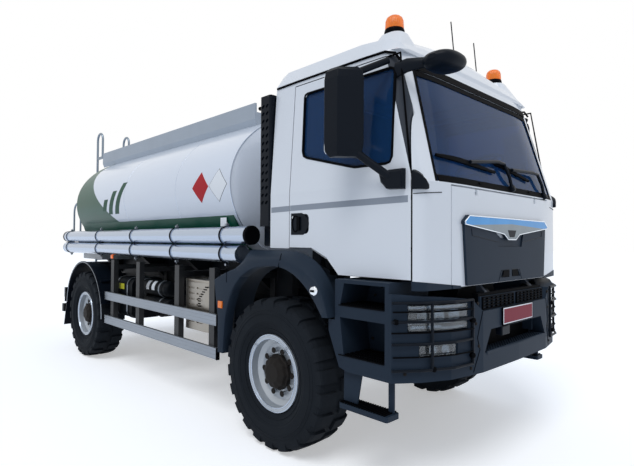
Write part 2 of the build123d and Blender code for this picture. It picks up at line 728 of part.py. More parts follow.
# room for the front flap, as deep everywhere as the front is bowed
with BuildPart(mode=Mode.PRIVATE) as flap_room:
    with BuildSketch(Plane.YZ.offset(CAB_FRONT_X - 2 * RECESS)):
        with Locations((0, (FLAP_TOP + 12 + CAB_FRONT_LOW - 1) / 2)):
            Rectangle(2 * FLAP_HALF_W + 12, FLAP_TOP + 13 - CAB_FRONT_LOW)
    extrude(amount=3 * RECESS)
    add(cab_form(RECESS), mode=Mode.SUBTRACT)
with BuildPart() as cab_shell:
    add(cab_outer.part)
    add(cab_void.part, mode=Mode.SUBTRACT)
    for hand, side in SIDES:
        with BuildSketch(slab(side, DOOR_IN_Y - 2, DOOR_OUT_Y + 2)):
            with BuildLine():
                Polyline(*DOOR_OUTLINE, close=True)
            make_face()
            offset(amount=SHUT, kind=Kind.INTERSECTION)
        extrude(amount=DOOR_OUT_Y - DOOR_IN_Y + 4, mode=Mode.SUBTRACT)
    with BuildSketch(screen_plane.offset(-140)):
        with BuildLine():
            Polyline(*SCREEN_OUTLINE, close=True)
        make_face()
    extrude(amount=280, mode=Mode.SUBTRACT)
    add(flap_room.part, mode=Mode.SUBTRACT)
    for hand, side in SIDES:
        # door hinge arms and pins
        for hinge_z in HINGE_Z:
            with BuildSketch(Plane.XY.offset(hinge_z - HINGE_H / 2 + 4)):
                with BuildLine():
                    Polyline(
                        (HINGE_X - HINGE_ARM_R, side * HINGE_Y),
                        (HINGE_X + HINGE_ARM_R, side * HINGE_Y),
                        (HINGE_X + HINGE_ARM_R, side * 1046),
                        (HINGE_X + 54, side * 1046),
                        (HINGE_X + 54, side * 1022),
                        (HINGE_X - HINGE_ARM_R, side * 1022),
                        close=True,
                    )
                make_face()
                with Locations((HINGE_X, side * HINGE_Y)):
                    Circle(HINGE_ARM_R)
                with Locations((HINGE_X + 40, side * 1040)):
                    Rectangle(28, 36)
            extrude(amount=HINGE_H - 8)
            with BuildSketch(Plane.XY.offset(hinge_z - HINGE_H)):
                with Locations((HINGE_X, side * HINGE_Y)):
                    Circle(HINGE_PIN_R)
            extrude(amount=2 * HINGE_H)
        # lugs round the tilt pins
        lug_y = 345 + 15 + 5
        with BuildSketch(Plane.XZ.offset(-side * (lug_y + 18) - 18)):
            with BuildLine():
                Polyline(
                    (CAB_FRONT_X - CAB_WALL, FLOOR_Z - 30),
                    (CAB_FRONT_X - RECESS, FLOOR_Z - 30),
                    (CAB_FRONT_X - RECESS, CAB_FRONT_LOW - 1),
                    (TILT_X + 28, TILT_Z + 12),
                    (TILT_X, TILT_Z),
                    (TILT_X - TILT_LUG_R, TILT_Z),
                    (CAB_FRONT_X - CAB_WALL, CAB_FRONT_LOW),
                    close=True,
                )
            make_face()
            with Locations((TILT_X, TILT_Z)):
                Circle(TILT_LUG_R)
            with Locations((TILT_X, TILT_Z)):
                Circle(TILT_PIN_R + RUN, mode=Mode.SUBTRACT)
        extrude(amount=36)
        # flap hinge pins
        flap_y = side * FLAP_PIN_Y
        with BuildSketch(Plane.XZ.offset(-flap_y - 12)):
            with BuildLine():
                Polyline(
                    (CAB_FRONT_X - RECESS - 1, FLAP_PIVOT_Z + 18),
                    (CAB_FRONT_X - RECESS - 1, FLAP_PIVOT_Z - 10),
                    (CAB_FRONT_X - 12, FLAP_PIVOT_Z - 8),
                    (CAB_FRONT_X - 2, FLAP_PIVOT_Z),
                    (CAB_FRONT_X - 10, FLAP_PIVOT_Z + 9),
                    close=True,
                )
            make_face()
        extrude(amount=24)
        with BuildSketch(Plane.XZ.offset(-flap_y - 36)):
            with Locations((CAB_FRONT_X - 11, FLAP_PIVOT_Z)):
                Circle(FLAP_PIN_R)
        extrude(amount=72)
    # dashboard carried by the front wall
    with BuildSketch(Plane.XZ.offset(-1030)):
        with BuildLine():
            Polyline(
                (CAB_FRONT_X - CAB_WALL + 1, 1700),
                (CAB_FRONT_X - CAB_WALL + 1, 1950),
                (3120, 1985),
                (2960, 1950),
                (2930, 1850),
                (3000, 1740),
                close=True,
            )
        make_face()
    extrude(amount=2060)
    # steering column
    with BuildSketch(column):
        Circle(34)
    extrude(amount=COLUMN_L)
    with BuildSketch(column):
        Circle(COLUMN_SHAFT_R)
    extrude(amount=COLUMN_L + 45)
save(cab_shell.part, "cab_shell")

# Cross-sections of the roof from the back: X, half width low, half width at the shoulder, height of
# the shoulder, height of the crown.
ROOF_LOW_Z = CAB_TOP + SEAT
ROOF_SECTIONS = (
    (CAB_REAR_X, 1048, 975, 105, 160),
    (CAB_REAR_X + 70, 1050, 985, 122, 208),
    (2700, 1050, 985, 124, 228),
    (2905, 1040, 965, 112, 218),
    (2990, 1020, 930, 78, 132),
    (3040, 1000, 900, 22, 40),
)
BEACON_X = 2834
BEACON_Y = 780
BEACON_POD_TOP = CAB_TOP + 205
with BuildPart() as cab_roof:
    for x, low_w, shoulder_w, shoulder_h, crown_h in ROOF_SECTIONS:
        with BuildSketch(Plane.YZ.offset(x)):
            with BuildLine():
                left = (-shoulder_w, ROOF_LOW_Z + shoulder_h)
                right = (shoulder_w, ROOF_LOW_Z + shoulder_h)
                Polyline(left, (-low_w, ROOF_LOW_Z), (low_w, ROOF_LOW_Z), right)
                ThreePointArc(left, (0, ROOF_LOW_Z + crown_h), right)
            make_face()
    loft(ruled=True)
    for hand, side in SIDES:
        with BuildSketch(Plane.XY.offset(ROOF_LOW_Z)):
            with Locations((BEACON_X + 41, side * (BEACON_Y + 60))):
                RectangleRounded(320, 340, 50)
        with BuildSketch(Plane.XY.offset(BEACON_POD_TOP)):
            with Locations((BEACON_X, side * BEACON_Y)):
                RectangleRounded(190, 170, 70)
        loft(ruled=True)
    with BuildSketch(Plane.XY.offset(CAB_TOP)):
        with Locations(((CAB_REAR_X + 2985) / 2 - 10, 0)):
            Rectangle(2985 - CAB_REAR_X - 200, 1720)
    extrude(amount=95, mode=Mode.SUBTRACT)
save(cab_roof.part, "cab_roof")

# Doors ----------------------------------------------------------------------------
for hand, side in SIDES:
    with BuildPart() as door:
        with BuildSketch(slab(side, DOOR_IN_Y, DOOR_OUT_Y)):
            with BuildLine():
                Polyline(*DOOR_OUTLINE, close=True)
            make_face()
        extrude(amount=DOOR_OUT_Y - DOOR_IN_Y)
        add(cab_outer.part, mode=Mode.INTERSECT)
        add(cab_void.part, mode=Mode.SUBTRACT)
        # bevel that lets the front edge turn inside the shut line
        with BuildSketch(Plane.XY.offset(CAB_SILL)):
            with BuildLine():
                Polyline(
                    (DOOR_FRONT_X - DOOR_CHAMFER, side * (CAB_HALF_W + 0.5)),
                    (DOOR_FRONT_X + 1, side * (CAB_HALF_W + 0.5)),
                    (DOOR_FRONT_X + 1, side * (CAB_HALF_W - DOOR_CHAMFER)),
                    (DOOR_FRONT_X, side * (CAB_HALF_W - DOOR_CHAMFER)),
                    close=True,
                )
            make_face()
        extrude(amount=DOOR_SHOULDER_Z + 100 - CAB_SILL, mode=Mode.SUBTRACT)
        with BuildSketch(slab(side, DOOR_IN_Y - 2, DOOR_OUT_Y + 2)):
            with BuildLine():
                Polyline(*WINDOW_OUTLINE, close=True)
            make_face()
            fillet(vertices(), WINDOW_R)
        extrude(amount=DOOR_OUT_Y - DOOR_IN_Y + 4, mode=Mode.SUBTRACT)
        for hinge_z in HINGE_Z:
            with BuildSketch(Plane.XY.offset(hinge_z - HINGE_H / 2)):
                with Locations((HINGE_X + 19, side * (HINGE_Y - 34))):
                    Rectangle(62, 92)
            extrude(amount=HINGE_H, mode=Mode.SUBTRACT)
            with BuildSketch(Plane.XY.offset(hinge_z - HINGE_H - 2)):
                with Locations((HINGE_X, side * HINGE_Y)):
                    Circle(HINGE_PIN_R + RUN)
            extrude(amount=2 * HINGE_H + 4, mode=Mode.SUBTRACT)
        # recessed handle
        with BuildSketch(Plane.XZ.offset(-side * (CAB_HALF_W - 8) - 8)):
            with Locations((2195, 1740)):
                RectangleRounded(200, 150, 36)
        extrude(amount=16, mode=Mode.SUBTRACT)
    save(door.part, f"door_{hand}")

    with BuildPart() as pane:
        with BuildSketch(Plane.YZ.offset(2150)):
            with BuildLine():
                low, high = BELT_Z - 10, 2790
                out_low = CAB_HALF_W - 14 + 10 * LEAN
                out_high = cab_half_width(high, 14)
                Polyline(
                    (side * out_low, low),
                    (side * out_high, high),
                    (side * (out_high - PANE_T), high),
                    (side * (out_low - PANE_T), low),
                    close=True,
                )
            make_face()
        extrude(amount=950)
        with BuildSketch(slab(side, DOOR_IN_Y - 2, DOOR_OUT_Y + 2)):
            with BuildLine():
                Polyline(*WINDOW_OUTLINE, close=True)
            make_face()
            fillet(vertices(), WINDOW_R)
            offset(amount=-SEAT)
        extrude(amount=DOOR_OUT_Y - DOOR_IN_Y + 4, mode=Mode.INTERSECT)
    save(pane.part, f"door_glass_{hand}")

with BuildPart() as windscreen:
    with BuildSketch(screen_plane.offset(-140)):
        with BuildLine():
            Polyline(*SCREEN_OUTLINE, close=True)
        make_face()
        offset(amount=-SEAT, kind=Kind.INTERSECTION)
    extrude(amount=280)
    add(cab_form(SCREEN_SET), mode=Mode.INTERSECT)
    add(cab_form(SCREEN_SET + SCREEN_T), mode=Mode.SUBTRACT)
save(windscreen.part, "windscreen")

with BuildPart() as front_flap:
    flap_low = CAB_FRONT_LOW + 2
    with BuildSketch(Plane.YZ.offset(CAB_FRONT_X - 2 * RECESS)):
        with Locations((0, (FLAP_TOP + flap_low) / 2)):
            Rectangle(2 * FLAP_HALF_W, FLAP_TOP - flap_low)
        fillet(vertices().sort_by(Axis.Y)[:2], 20)
    extrude(amount=3 * RECESS)
    add(cab_form(-FLAP_PROUD), mode=Mode.INTERSECT)
    add(cab_form(FLAP_T - FLAP_PROUD), mode=Mode.SUBTRACT)
    for hand, side in SIDES:
        flap_y = side * FLAP_PIN_Y
        with BuildSketch(Plane.XZ.offset(-flap_y - 18)):
            with Locations((CAB_FRONT_X - 10, FLAP_TOP - 10)):
                Rectangle(80, 60)
        extrude(amount=36, mode=Mode.SUBTRACT)
        with BuildSketch(Plane.XZ.offset(-flap_y - 40)):
            with Locations((CAB_FRONT_X - 11, FLAP_PIVOT_Z)):
                Circle(FLAP_PIN_R + RUN)
        extrude(amount=80, mode=Mode.SUBTRACT)
save(front_flap.part, "front_flap")

# Grille panel: half outline of the lower plate and of the band above it, mirrored in code.
GRILLE_LOW = ((650, 1322), (688, 1729), (250, 1690), (140, 1640), (0, 1640))
GRILLE_BAND = ((700, 1729), (700, 1748), (646, 1790), (0, 1790))
GRILLE_NOTCH = ((0, 1576), (200, 1576), (236, 1690), (250, 1700), (0, 1700))
GRILLE_VENTS = ((-132, -24), (24, 132))


def both_halves(half):
    """Closed outline from its right half."""
    return [(y, z) for y, z in half] + [(-y, z) for y, z in reversed(half) if y]


with BuildPart() as grille_panel:
    for half, near, far in ((GRILLE_LOW, 4, 22), (GRILLE_BAND, 4, 26)):
        with BuildPart(mode=Mode.PRIVATE) as plate:
            with BuildSketch(Plane.YZ.offset(CAB_FRONT_X - 2 * RECESS)):
                with BuildLine():
                    Polyline(*both_halves([(0, half[0][1])] + list(half)), close=True)
                make_face()
            extrude(amount=4 * RECESS)
            add(cab_form(-far), mode=Mode.INTERSECT)
            add(cab_form(-near - SEAT), mode=Mode.SUBTRACT)
        add(plate.part)
    # boat-shaped centre under the band, and the notch round it
    with BuildSketch(Plane.YZ.offset(CAB_FRONT_X + 12)):
        with BuildLine():
            Polyline(*both_halves(GRILLE_NOTCH), close=True)
        make_face()
    extrude(amount=40, mode=Mode.SUBTRACT)
    with BuildSketch(Plane.YZ.offset(CAB_FRONT_X + 11)):
        with BuildLine():
            Polyline(*both_halves(((0, 1630), (72, 1630), (128, 1669), (250, 1700), (250, 1735),
                                   (0, 1735))), close=True)
        make_face()
    extrude(amount=19)
    # two vents low in the middle
    for y0, y1 in GRILLE_VENTS:
        with BuildSketch(Plane.YZ.offset(CAB_FRONT_X + 12)):
            with BuildLine():
                low = 40 if y1 > 0 else -40
                Polyline(
                    (y0 - (40 if y0 < -24 else 0), 1352), (y1 + (40 if y1 > 24 else 0), 1352),
                    (y1, 1404), (y0, 1404), close=True,
                )
            make_face()
        extrude(amount=40, mode=Mode.SUBTRACT)
save(grille_panel.part, "grille_panel")

# Front end ---------------------------------------------------------------------------
BUMPER_FRONT = tuple(zip(NOSE_X, NOSE_Y))


def bumper_ring(grow, thick):
    """Closed outline in plan, set forward by grow and thick deep, right side to left."""
    right = [(x + grow, -y) for x, y in BUMPER_FRONT][::-1]
    left = [(x + grow, y) for x, y in BUMPER_FRONT][1:]
    front = right + left
    inner = [(BUMPER_REAR_X, NOSE_Y[-1] - thick), (3215 - thick, 1010), (3330 - thick, 760),
             (3380 - thick, 480), (3390 - thick, 0)]
    back = inner + [(x, -y) for x, y in inner[:-1]][::-1]
    ends = [(BUMPER_REAR_X, NOSE_Y[-1])]
    return front + ends + back + [(BUMPER_REAR_X, -NOSE_Y[-1])]


with BuildPart() as bumper:
    with BuildSketch(Plane.XY.offset(BUMPER_LOW)):
        with BuildLine():
            Polyline(*bumper_ring(0, BUMPER_T), close=True)
        make_face()
    extrude(amount=BUMPER_TOP - BUMPER_LOW)
    # lower centre between the lamps
    with BuildSketch(Plane.YZ.offset(BUMPER_REAR_X)):
        with BuildLine():
            Polyline(
                (-1201, BUMPER_TOP + 1), (-1201, BUMPER_TOP - 2), (-860, 1258), (-650, 1236),
                (-540, BUMPER_CENTRE_TOP), (540, BUMPER_CENTRE_TOP), (650, 1236), (860, 1258),
                (1201, BUMPER_TOP - 2), (1201, BUMPER_TOP + 1), close=True,
            )
        make_face()
    extrude(amount=400, mode=Mode.SUBTRACT)
    # towing step
    with BuildSketch(Plane.YZ.offset(BUMPER_REAR_X)):
        with BuildLine():
            Polyline((-430, 1020), (-520, 870), (520, 870), (430, 1020), close=True)
        make_face()
    extrude(amount=400, mode=Mode.SUBTRACT)
    for hand, side in SIDES:
        # pocket for the headlamp, fog lamp pocket under it
        for y0, y1, z0, z1 in (
            (LAMP_Y[0] - 8, LAMP_Y[1] + 8, LAMP_Z[0] - 8, LAMP_Z[1] + 8),
            (790, 1060, 898, 972),
        ):
            with BuildSketch(Plane.YZ.offset(3150)):
                with Locations((side * (y0 + y1) / 2, (z0 + z1) / 2)):
                    Rectangle(y1 - y0, z1 - z0)
            extrude(amount=250, mode=Mode.SUBTRACT)
        # brackets back to the rails
        with BuildSketch(Plane.XY.offset(900)):
            with Locations((3235, side * (RAIL_OUT_Y + SEAT + 12))):
                Rectangle(160, 24)
        extrude(amount=120)
    # mesh carrier above the plate, and the step tread
    with BuildSketch(Plane.XY.offset(BUMPER_CENTRE_TOP)):
        with Locations((3352, 0)):
            Rectangle(14, 1060)
    extrude(amount=92)
    with BuildSketch(Plane.XY.offset(856)):
        with Locations((3345, 0)):
            Rectangle(90, 980)
    extrude(amount=20)
    with BuildSketch(Plane.YZ.offset(NOSE_X[0] - 4)):
        with Locations((0, 1090)):
            Rectangle(520, 112)
    extrude(amount=10)
save(bumper.part, "bumper")

for hand, side in SIDES:
    with BuildPart() as headlamp:
        with BuildSketch(Plane.XY.offset(LAMP_Z[0])):
            with BuildLine():
                Polyline(*bumper_ring(0, BUMPER_T - 4), close=True)
            make_face()
        extrude(amount=LAMP_Z[1] - LAMP_Z[0])
        with BuildSketch(Plane.YZ.offset(3150)):
            with Locations((side * sum(LAMP_Y) / 2, sum(LAMP_Z) / 2)):
                Rectangle(LAMP_Y[1] - LAMP_Y[0] + 15.4, LAMP_Z[1] - LAMP_Z[0] + 15.4)
        extrude(amount=250, mode=Mode.INTERSECT)
    save(headlamp.part, f"headlamp_{hand}")

# Bars in front of each lamp
GUARD_BAR_R = 9
for hand, side in SIDES:
    with BuildPart() as lamp_guard:
        for bar_z in (825, 985, 1120, 1236):
            path = [(x + 24, side * y) for x, y in BUMPER_FRONT[2:]]
            path = [(3376, side * 660)] + path
            path[-1] = (path[-1][0] - 8, side * (NOSE_Y[-1] - 2 + 16))
            with BuildLine(Plane.XY.offset(bar_z)) as bar:
                FilletPolyline(*path, radius=30)
            with BuildSketch(Plane(origin=bar.line @ 0, z_dir=bar.line % 0)):
                Circle(GUARD_BAR_R)
            sweep(path=bar.line)
        for post_x, post_y in ((3376, 662), (3284, 997)):
            with BuildSketch(Plane.XY.offset(825)):
                with Locations((post_x, side * post_y)):
                    Circle(GUARD_BAR_R + 1)
            extrude(amount=1236 - 825)
        for post_z in (870, 1215):
            leg = Plane(origin=(3376, side * 662, post_z), x_dir=(0, 1, 0), z_dir=(-1, 0, 0))
            with BuildSketch(leg):
                Circle(GUARD_BAR_R)
            extrude(amount=9.8)
    save(lamp_guard.part, f"lamp_guard_{hand}")

# Steps
STEP_TOP = CAB_SILL - 12
STEP_FRONT_X = BUMPER_REAR_X - SEAT
LOW_STEP_X = (2712, 3110)
LOW_STEP_Y = (1090, 1222)
LOW_STEP_Z = (506, 540)
HANGER_X = (2775, 3078)
HANGER_W = 42
for hand, side in SIDES:
    with BuildPart() as step_box:
        with BuildSketch(slab(side, STEP_IN_Y, STEP_Y)):
            with BuildLine():
                Polyline(
                    (2654, STEP_TOP),
                    (2654, 1076),
                    (2594, 1076),
                    (2594, 1000),
                    (2694, 764),
                    (2768, 745),
                    (STEP_FRONT_X, 745),
                    (STEP_FRONT_X, STEP_TOP),
                    close=True,
                )
            make_face()
        extrude(amount=STEP_Y - STEP_IN_Y)
        for well in (
            ((2700, 1178), (2735, STEP_TOP - 24), (3075, STEP_TOP - 24), (3075, 1178)),
            ((2735, 846), (2700, 1100), (3075, 1100), (3075, 846)),
        ):
            with BuildSketch(slab(side, STEP_IN_Y + 160, STEP_Y + 1)):
                with BuildLine():
                    Polyline(*well, close=True)
                make_face()
            extrude(amount=STEP_Y + 1 - STEP_IN_Y - 160, mode=Mode.SUBTRACT)
        # lowest step on two hangers
        for hanger_x in HANGER_X:
            with BuildSketch(Plane.XY.offset(LOW_STEP_Z[0] + 10)):
                with Locations((hanger_x, side * 1130)):
                    Rectangle(HANGER_W, 12)
            extrude(amount=770 - LOW_STEP_Z[0] - 10)
        with BuildSketch(Plane.XY.offset(LOW_STEP_Z[0])):
            with Locations((sum(LOW_STEP_X) / 2, side * sum(LOW_STEP_Y) / 2)):
                RectangleRounded(LOW_STEP_X[1] - LOW_STEP_X[0], LOW_STEP_Y[1] - LOW_STEP_Y[0], 16)
            # open grip slots
            with Locations((sum(LOW_STEP_X) / 2, side * (sum(LOW_STEP_Y) / 2 + 24))):
                with GridLocations(66, 34, 4, 1):
                    SlotOverall(46, 22, mode=Mode.SUBTRACT)
        extrude(amount=LOW_STEP_Z[1] - LOW_STEP_Z[0])
        # arm to the frame rail
        with BuildSketch(slab(side, RAIL_OUT_Y + SEAT, STEP_IN_Y + 5)):
            with Locations((2900, 940)):
                Rectangle(120, 70)
        extrude(amount=STEP_IN_Y + 5 - RAIL_OUT_Y - SEAT)
    save(step_box.part, f"step_{hand}")

# Fenders -------------------------------------------------------------------------------
ARCH_OUT = (
    (1284, 632), (1276, 940), (1194, 1263), (1443, 1375), (1490, 1385), (1600, 1535), (2140, 1535),
    (2330, 1500), (2470, 1410), (2640, 1088),
)
ARCH_IN = (
    (2572, 1083), (2387, 1290), (2104, 1409), (1755, 1373), (1556, 1258), (1407, 1002),
    (1377, 703), (1370, 632),
)
TUB = (
    (1284, 640), (1296, 950), (1430, 1245), (1700, 1385), (2100, 1425), (2400, 1310), (2560, 1130),
)
for hand, side in SIDES:
    with BuildPart() as fender:
        with BuildSketch(slab(side, FENDER_IN_Y, FENDER_Y)):
            with BuildLine():
                Polyline(*ARCH_OUT, *ARCH_IN, close=True)
            make_face()
        extrude(amount=FENDER_Y - FENDER_IN_Y)
        # top falls away outwards
        with BuildSketch(Plane.YZ.offset(1100)):
            with BuildLine():
                Polyline(
                    (side * FENDER_IN_Y, 1545),
                    (side * (FENDER_Y + 1), 1449),
                    (side * (FENDER_Y + 1), 1600),
                    (side * FENDER_IN_Y, 1600),
                    close=True,
                )
            make_face()
        extrude(amount=1700, mode=Mode.SUBTRACT)
        # the tyre's room inboard of the lip
        with BuildSketch(slab(side, FENDER_IN_Y - 1, 1172)):
            with BuildLine():
                Polyline(
                    (1296, 600), (1296, 950), (1430, 1245), (1700, 1385), (2100, 1425),
                    (2400, 1310), (2560, 1130), (2600, 1060), (2600, 600), close=True,
                )
            make_face()
        extrude(amount=1173 - FENDER_IN_Y, mode=Mode.SUBTRACT)
        with BuildSketch(slab(side, TUB_IN_Y, 1172)):
            with BuildLine():
                tub_line = Polyline(*TUB)
                tub_back = Polyline(
                    (2570, 1136), (2408, 1320), (2102, 1437), (1696, 1397), (1421, 1253),
                    (1284, 955), (1272, 640),
                )
                Line(tub_line @ 1, tub_back @ 0)
                Line(tub_back @ 1, tub_line @ 0)
            make_face()
        extrude(amount=1172 - TUB_IN_Y)
        # stay out from the frame rail
        stay = Plane(origin=(1262, side * (RAIL_OUT_Y + SEAT), 880), x_dir=(1, 0, 0),
                     z_dir=(0, side, 0))
        with BuildSketch(stay):
            Circle(20)
        extrude(amount=1150 - RAIL_OUT_Y)
    save(fender.part, f"front_fender_{hand}")

MUD_X = REAR_AXLE_X - 30
MUD_R = 690
MUD_T = 14
MUD_Z = AXLE_Z + 25
MUD_Y = (868, 1245)
MUD_FLAP_X = -2915
for hand, side in SIDES:
    with BuildPart() as mudguard:
        with BuildSketch(slab(side, *MUD_Y)):
            with BuildLine():
                outer = CenterArc((MUD_X, MUD_Z), MUD_R, 14, 140)
                inner = CenterArc((MUD_X, MUD_Z), MUD_R - MUD_T, 14, 140)
                Line(outer @ 0, inner @ 0)
                Line(outer @ 1, inner @ 1)
            make_face()
        extrude(amount=MUD_Y[1] - MUD_Y[0])
        # rolled rim along the outer edge
        with BuildSketch(slab(side, MUD_Y[1] - 20, MUD_Y[1])):
            with BuildLine():
                rim_out = CenterArc((MUD_X, MUD_Z), MUD_R + 9, 14, 140)
                rim_in = CenterArc((MUD_X, MUD_Z), MUD_R - 2, 14, 140)
                Line(rim_out @ 0, rim_in @ 0)
                Line(rim_out @ 1, rim_in @ 1)
            make_face()
        extrude(amount=20)
        # flap behind the tyre
        hang = outer @ 1
        with BuildSketch(slab(side, 880, 1240)):
            with BuildLine():
                Polyline(
                    (hang.X - 10, hang.Y + 26),
                    (hang.X + 6, hang.Y + 6),
                    (MUD_FLAP_X, 330),
                    (MUD_FLAP_X - 16, 330),
                    close=True,
                )
            make_face()
        extrude(amount=1240 - 880)
        for post_angle in (40, 140):
            px = MUD_X + (MUD_R + 16) * cos(radians(post_angle))
            pz = MUD_Z + (MUD_R + 16) * sin(radians(post_angle))
            stay = Plane(origin=(px, side * (RAIL_OUT_Y + SEAT), pz), x_dir=(1, 0, 0),
                         z_dir=(0, side, 0))
            with BuildSketch(stay):
                Circle(20)
            extrude(amount=1200 - RAIL_OUT_Y)
    save(mudguard.part, f"rear_mudguard_{hand}")

# Side guards, tanks and silencer --------------------------------------------------------
for hand, side in SIDES:
    with BuildPart() as side_guard:
        for z0, z1 in (GUARD_TOP_Z, GUARD_LOW_Z):
            with BuildSketch(slab(side, GUARD_Y - GUARD_T, GUARD_Y)):
                with Locations(((GUARD_X[0] + GUARD_X[1]) / 2, (z0 + z1) / 2)):
                    Rectangle(GUARD_X[1] - GUARD_X[0], z1 - z0)
            extrude(amount=GUARD_T)
        for post_x in POST_X:
            inner_y = GUARD_Y - GUARD_T - GUARD_POST_T
            with BuildSketch(slab(side, inner_y, GUARD_Y - GUARD_T)):
                with Locations((post_x, (POST_TOP + GUARD_LOW_Z[0]) / 2)):
                    Rectangle(POST_W, POST_TOP - GUARD_LOW_Z[0])
            extrude(amount=GUARD_POST_T)
            with BuildSketch(slab(side, RAIL_OUT_Y + SEAT, inner_y + 5)):
                with BuildLine():
                    Polyline(
                        (post_x - 40, 1235), (post_x + 40, 1235), (post_x + 40, 1290),
                        (post_x - 40, 1290), close=True,
                    )
                make_face()
            extrude(amount=inner_y + 5 - RAIL_OUT_Y - SEAT)
            with BuildSketch(slab(side, RAIL_OUT_Y + SEAT, RAIL_OUT_Y + SEAT + 20)):
                with Locations((post_x, 1110)):
                    Rectangle(80, 360)
            extrude(amount=20)
    save(side_guard.part, f"side_guard_{hand}")

SILENCER_X = 660
SILENCER_Z = (720, 1220)
LOUVRE_DEPTH = 10
with BuildPart() as silencer:
    with BuildSketch(Plane.XY.offset(SILENCER_Z[0])):
        with Locations((SILENCER_X, -900)):
            RectangleRounded(560, 400, 120)
    extrude(amount=SILENCER_Z[1] - SILENCER_Z[0])
    # two columns of louvre slots in the heat shield's outer face
    with BuildSketch(slab(-1, 1100 - LOUVRE_DEPTH, 1101)):
        with Locations((SILENCER_X, sum(SILENCER_Z) / 2)):
            with GridLocations(150, 56, 2, 7):
                SlotOverall(118, 16)
    extrude(amount=LOUVRE_DEPTH + 1, mode=Mode.SUBTRACT)
    with BuildSketch(slab(-1, RAIL_OUT_Y + SEAT, 800)):
        with Locations((680, 880)):
            Rectangle(260, 80)
    extrude(amount=800 - RAIL_OUT_Y - SEAT)
save(silencer.part, "silencer")

AIR_TANK_X = (-860, -80)
AIR_TANK_Y = 960
AIR_TANK_Z = (860, 1050)
AIR_TANK_R = 92
AIR_ARM_X = -660
with BuildPart() as air_tanks:
    for tank_z in AIR_TANK_Z:
        with BuildSketch(Plane.YZ.offset(AIR_TANK_X[0])):
            with Locations((-AIR_TANK_Y, tank_z)):
                Circle(AIR_TANK_R)
        extrude(amount=AIR_TANK_X[1] - AIR_TANK_X[0])
    fillet(edges().filter_by(GeomType.CIRCLE), AIR_TANK_R / 2)
    # clamping bands and the arm to the rail
    for band_x in (AIR_TANK_X[0] + 90, AIR_TANK_X[1] - 120):
        with BuildSketch(Plane.YZ.offset(band_x)):
            with Locations(*((-AIR_TANK_Y, z) for z in AIR_TANK_Z)):
                Circle(AIR_TANK_R + 4)
        extrude(amount=30)
    with BuildSketch(Plane.YZ.offset(AIR_ARM_X - 35)):
        with Locations((-AIR_TANK_Y + 5, sum(AIR_TANK_Z) / 2)):
            Rectangle(120, 200)
    extrude(amount=70)
    with BuildSketch(slab(-1, RAIL_OUT_Y + SEAT, 920)):
        with Locations((AIR_ARM_X, sum(AIR_TANK_Z) / 2)):
            Rectangle(70, 90)
    extrude(amount=920 - RAIL_OUT_Y - SEAT)
save(air_tanks.part, "air_tanks")

STRAP_TANK_X = (-1430, -910)
with BuildPart() as strap_tank:
    with BuildSketch(Plane.YZ.offset(STRAP_TANK_X[0])):
        with Locations((-860, 880)):
            RectangleRounded(420, 500, 90)
    extrude(amount=STRAP_TANK_X[1] - STRAP_TANK_X[0])
    for band_x in (STRAP_TANK_X[0] + 90, STRAP_TANK_X[1] - 130):
        with BuildSketch(Plane.YZ.offset(band_x)):
            with Locations((-860, 880)):
                RectangleRounded(430, 510, 95)
        extrude(amount=40)
    with BuildSketch(slab(-1, RAIL_OUT_Y + SEAT, 660)):
        with Locations((-1170, 880)):
            Rectangle(340, 80)
    extrude(amount=660 - RAIL_OUT_Y - SEAT)
save(strap_tank.part, "strap_tank")

FUEL_TANK_X = (-900, 600)
with BuildPart() as fuel_tank:
    with BuildSketch(Plane.YZ.offset(FUEL_TANK_X[0])):
        with Locations((820, 860)):
            RectangleRounded(560, 560, 90)
    extrude(amount=FUEL_TANK_X[1] - FUEL_TANK_X[0])
    for band_x in (FUEL_TANK_X[0] + 200, FUEL_TANK_X[1] - 240):
        with BuildSketch(Plane.YZ.offset(band_x)):
            with Locations((820, 860)):
                RectangleRounded(570, 570, 95)
        extrude(amount=40)
    with BuildSketch(slab(1, RAIL_OUT_Y + SEAT, 545)):
        with Locations((-150, 890)):
            Rectangle(1100, 60)
    extrude(amount=545 - RAIL_OUT_Y - SEAT)
    with BuildSketch(Plane.XY.offset(1139)):
        with Locations((380, 820)):
            Circle(55)
    extrude(amount=45)
save(fuel_tank.part, "fuel_tank")

# Tank --------------------------------------------------------------------------------------
with BuildPart() as tank_barrel:
    with BuildSketch(Plane.YZ.offset(TANK_REAR_X)):
        with Locations((0, TANK_Z)):
            Ellipse(TANK_HALF_W, TANK_HALF_H)
    extrude(amount=TANK_FRONT_X - TANK_REAR_X)
    for start, way in ((TANK_FRONT_X, 1), (TANK_REAR_X, -1)):
        for share, depth in ((1, 0), (0.86, 62), (0.55, 130), (0.2, HEAD_BULGE)):
            with BuildSketch(Plane.YZ.offset(start + way * depth)):
                with Locations((0, TANK_Z)):
                    Ellipse((TANK_HALF_W - 12) * share, (TANK_HALF_H - 12) * share)
        loft()
save(tank_barrel.part, "tank_barrel")

with BuildPart(mode=Mode.PRIVATE) as tank_space:
    with BuildSketch(Plane.YZ.offset(-3300)):
        with Locations((0, TANK_Z)):
            Ellipse(TANK_HALF_W + SEAT, TANK_HALF_H + SEAT)
    extrude(amount=4800)

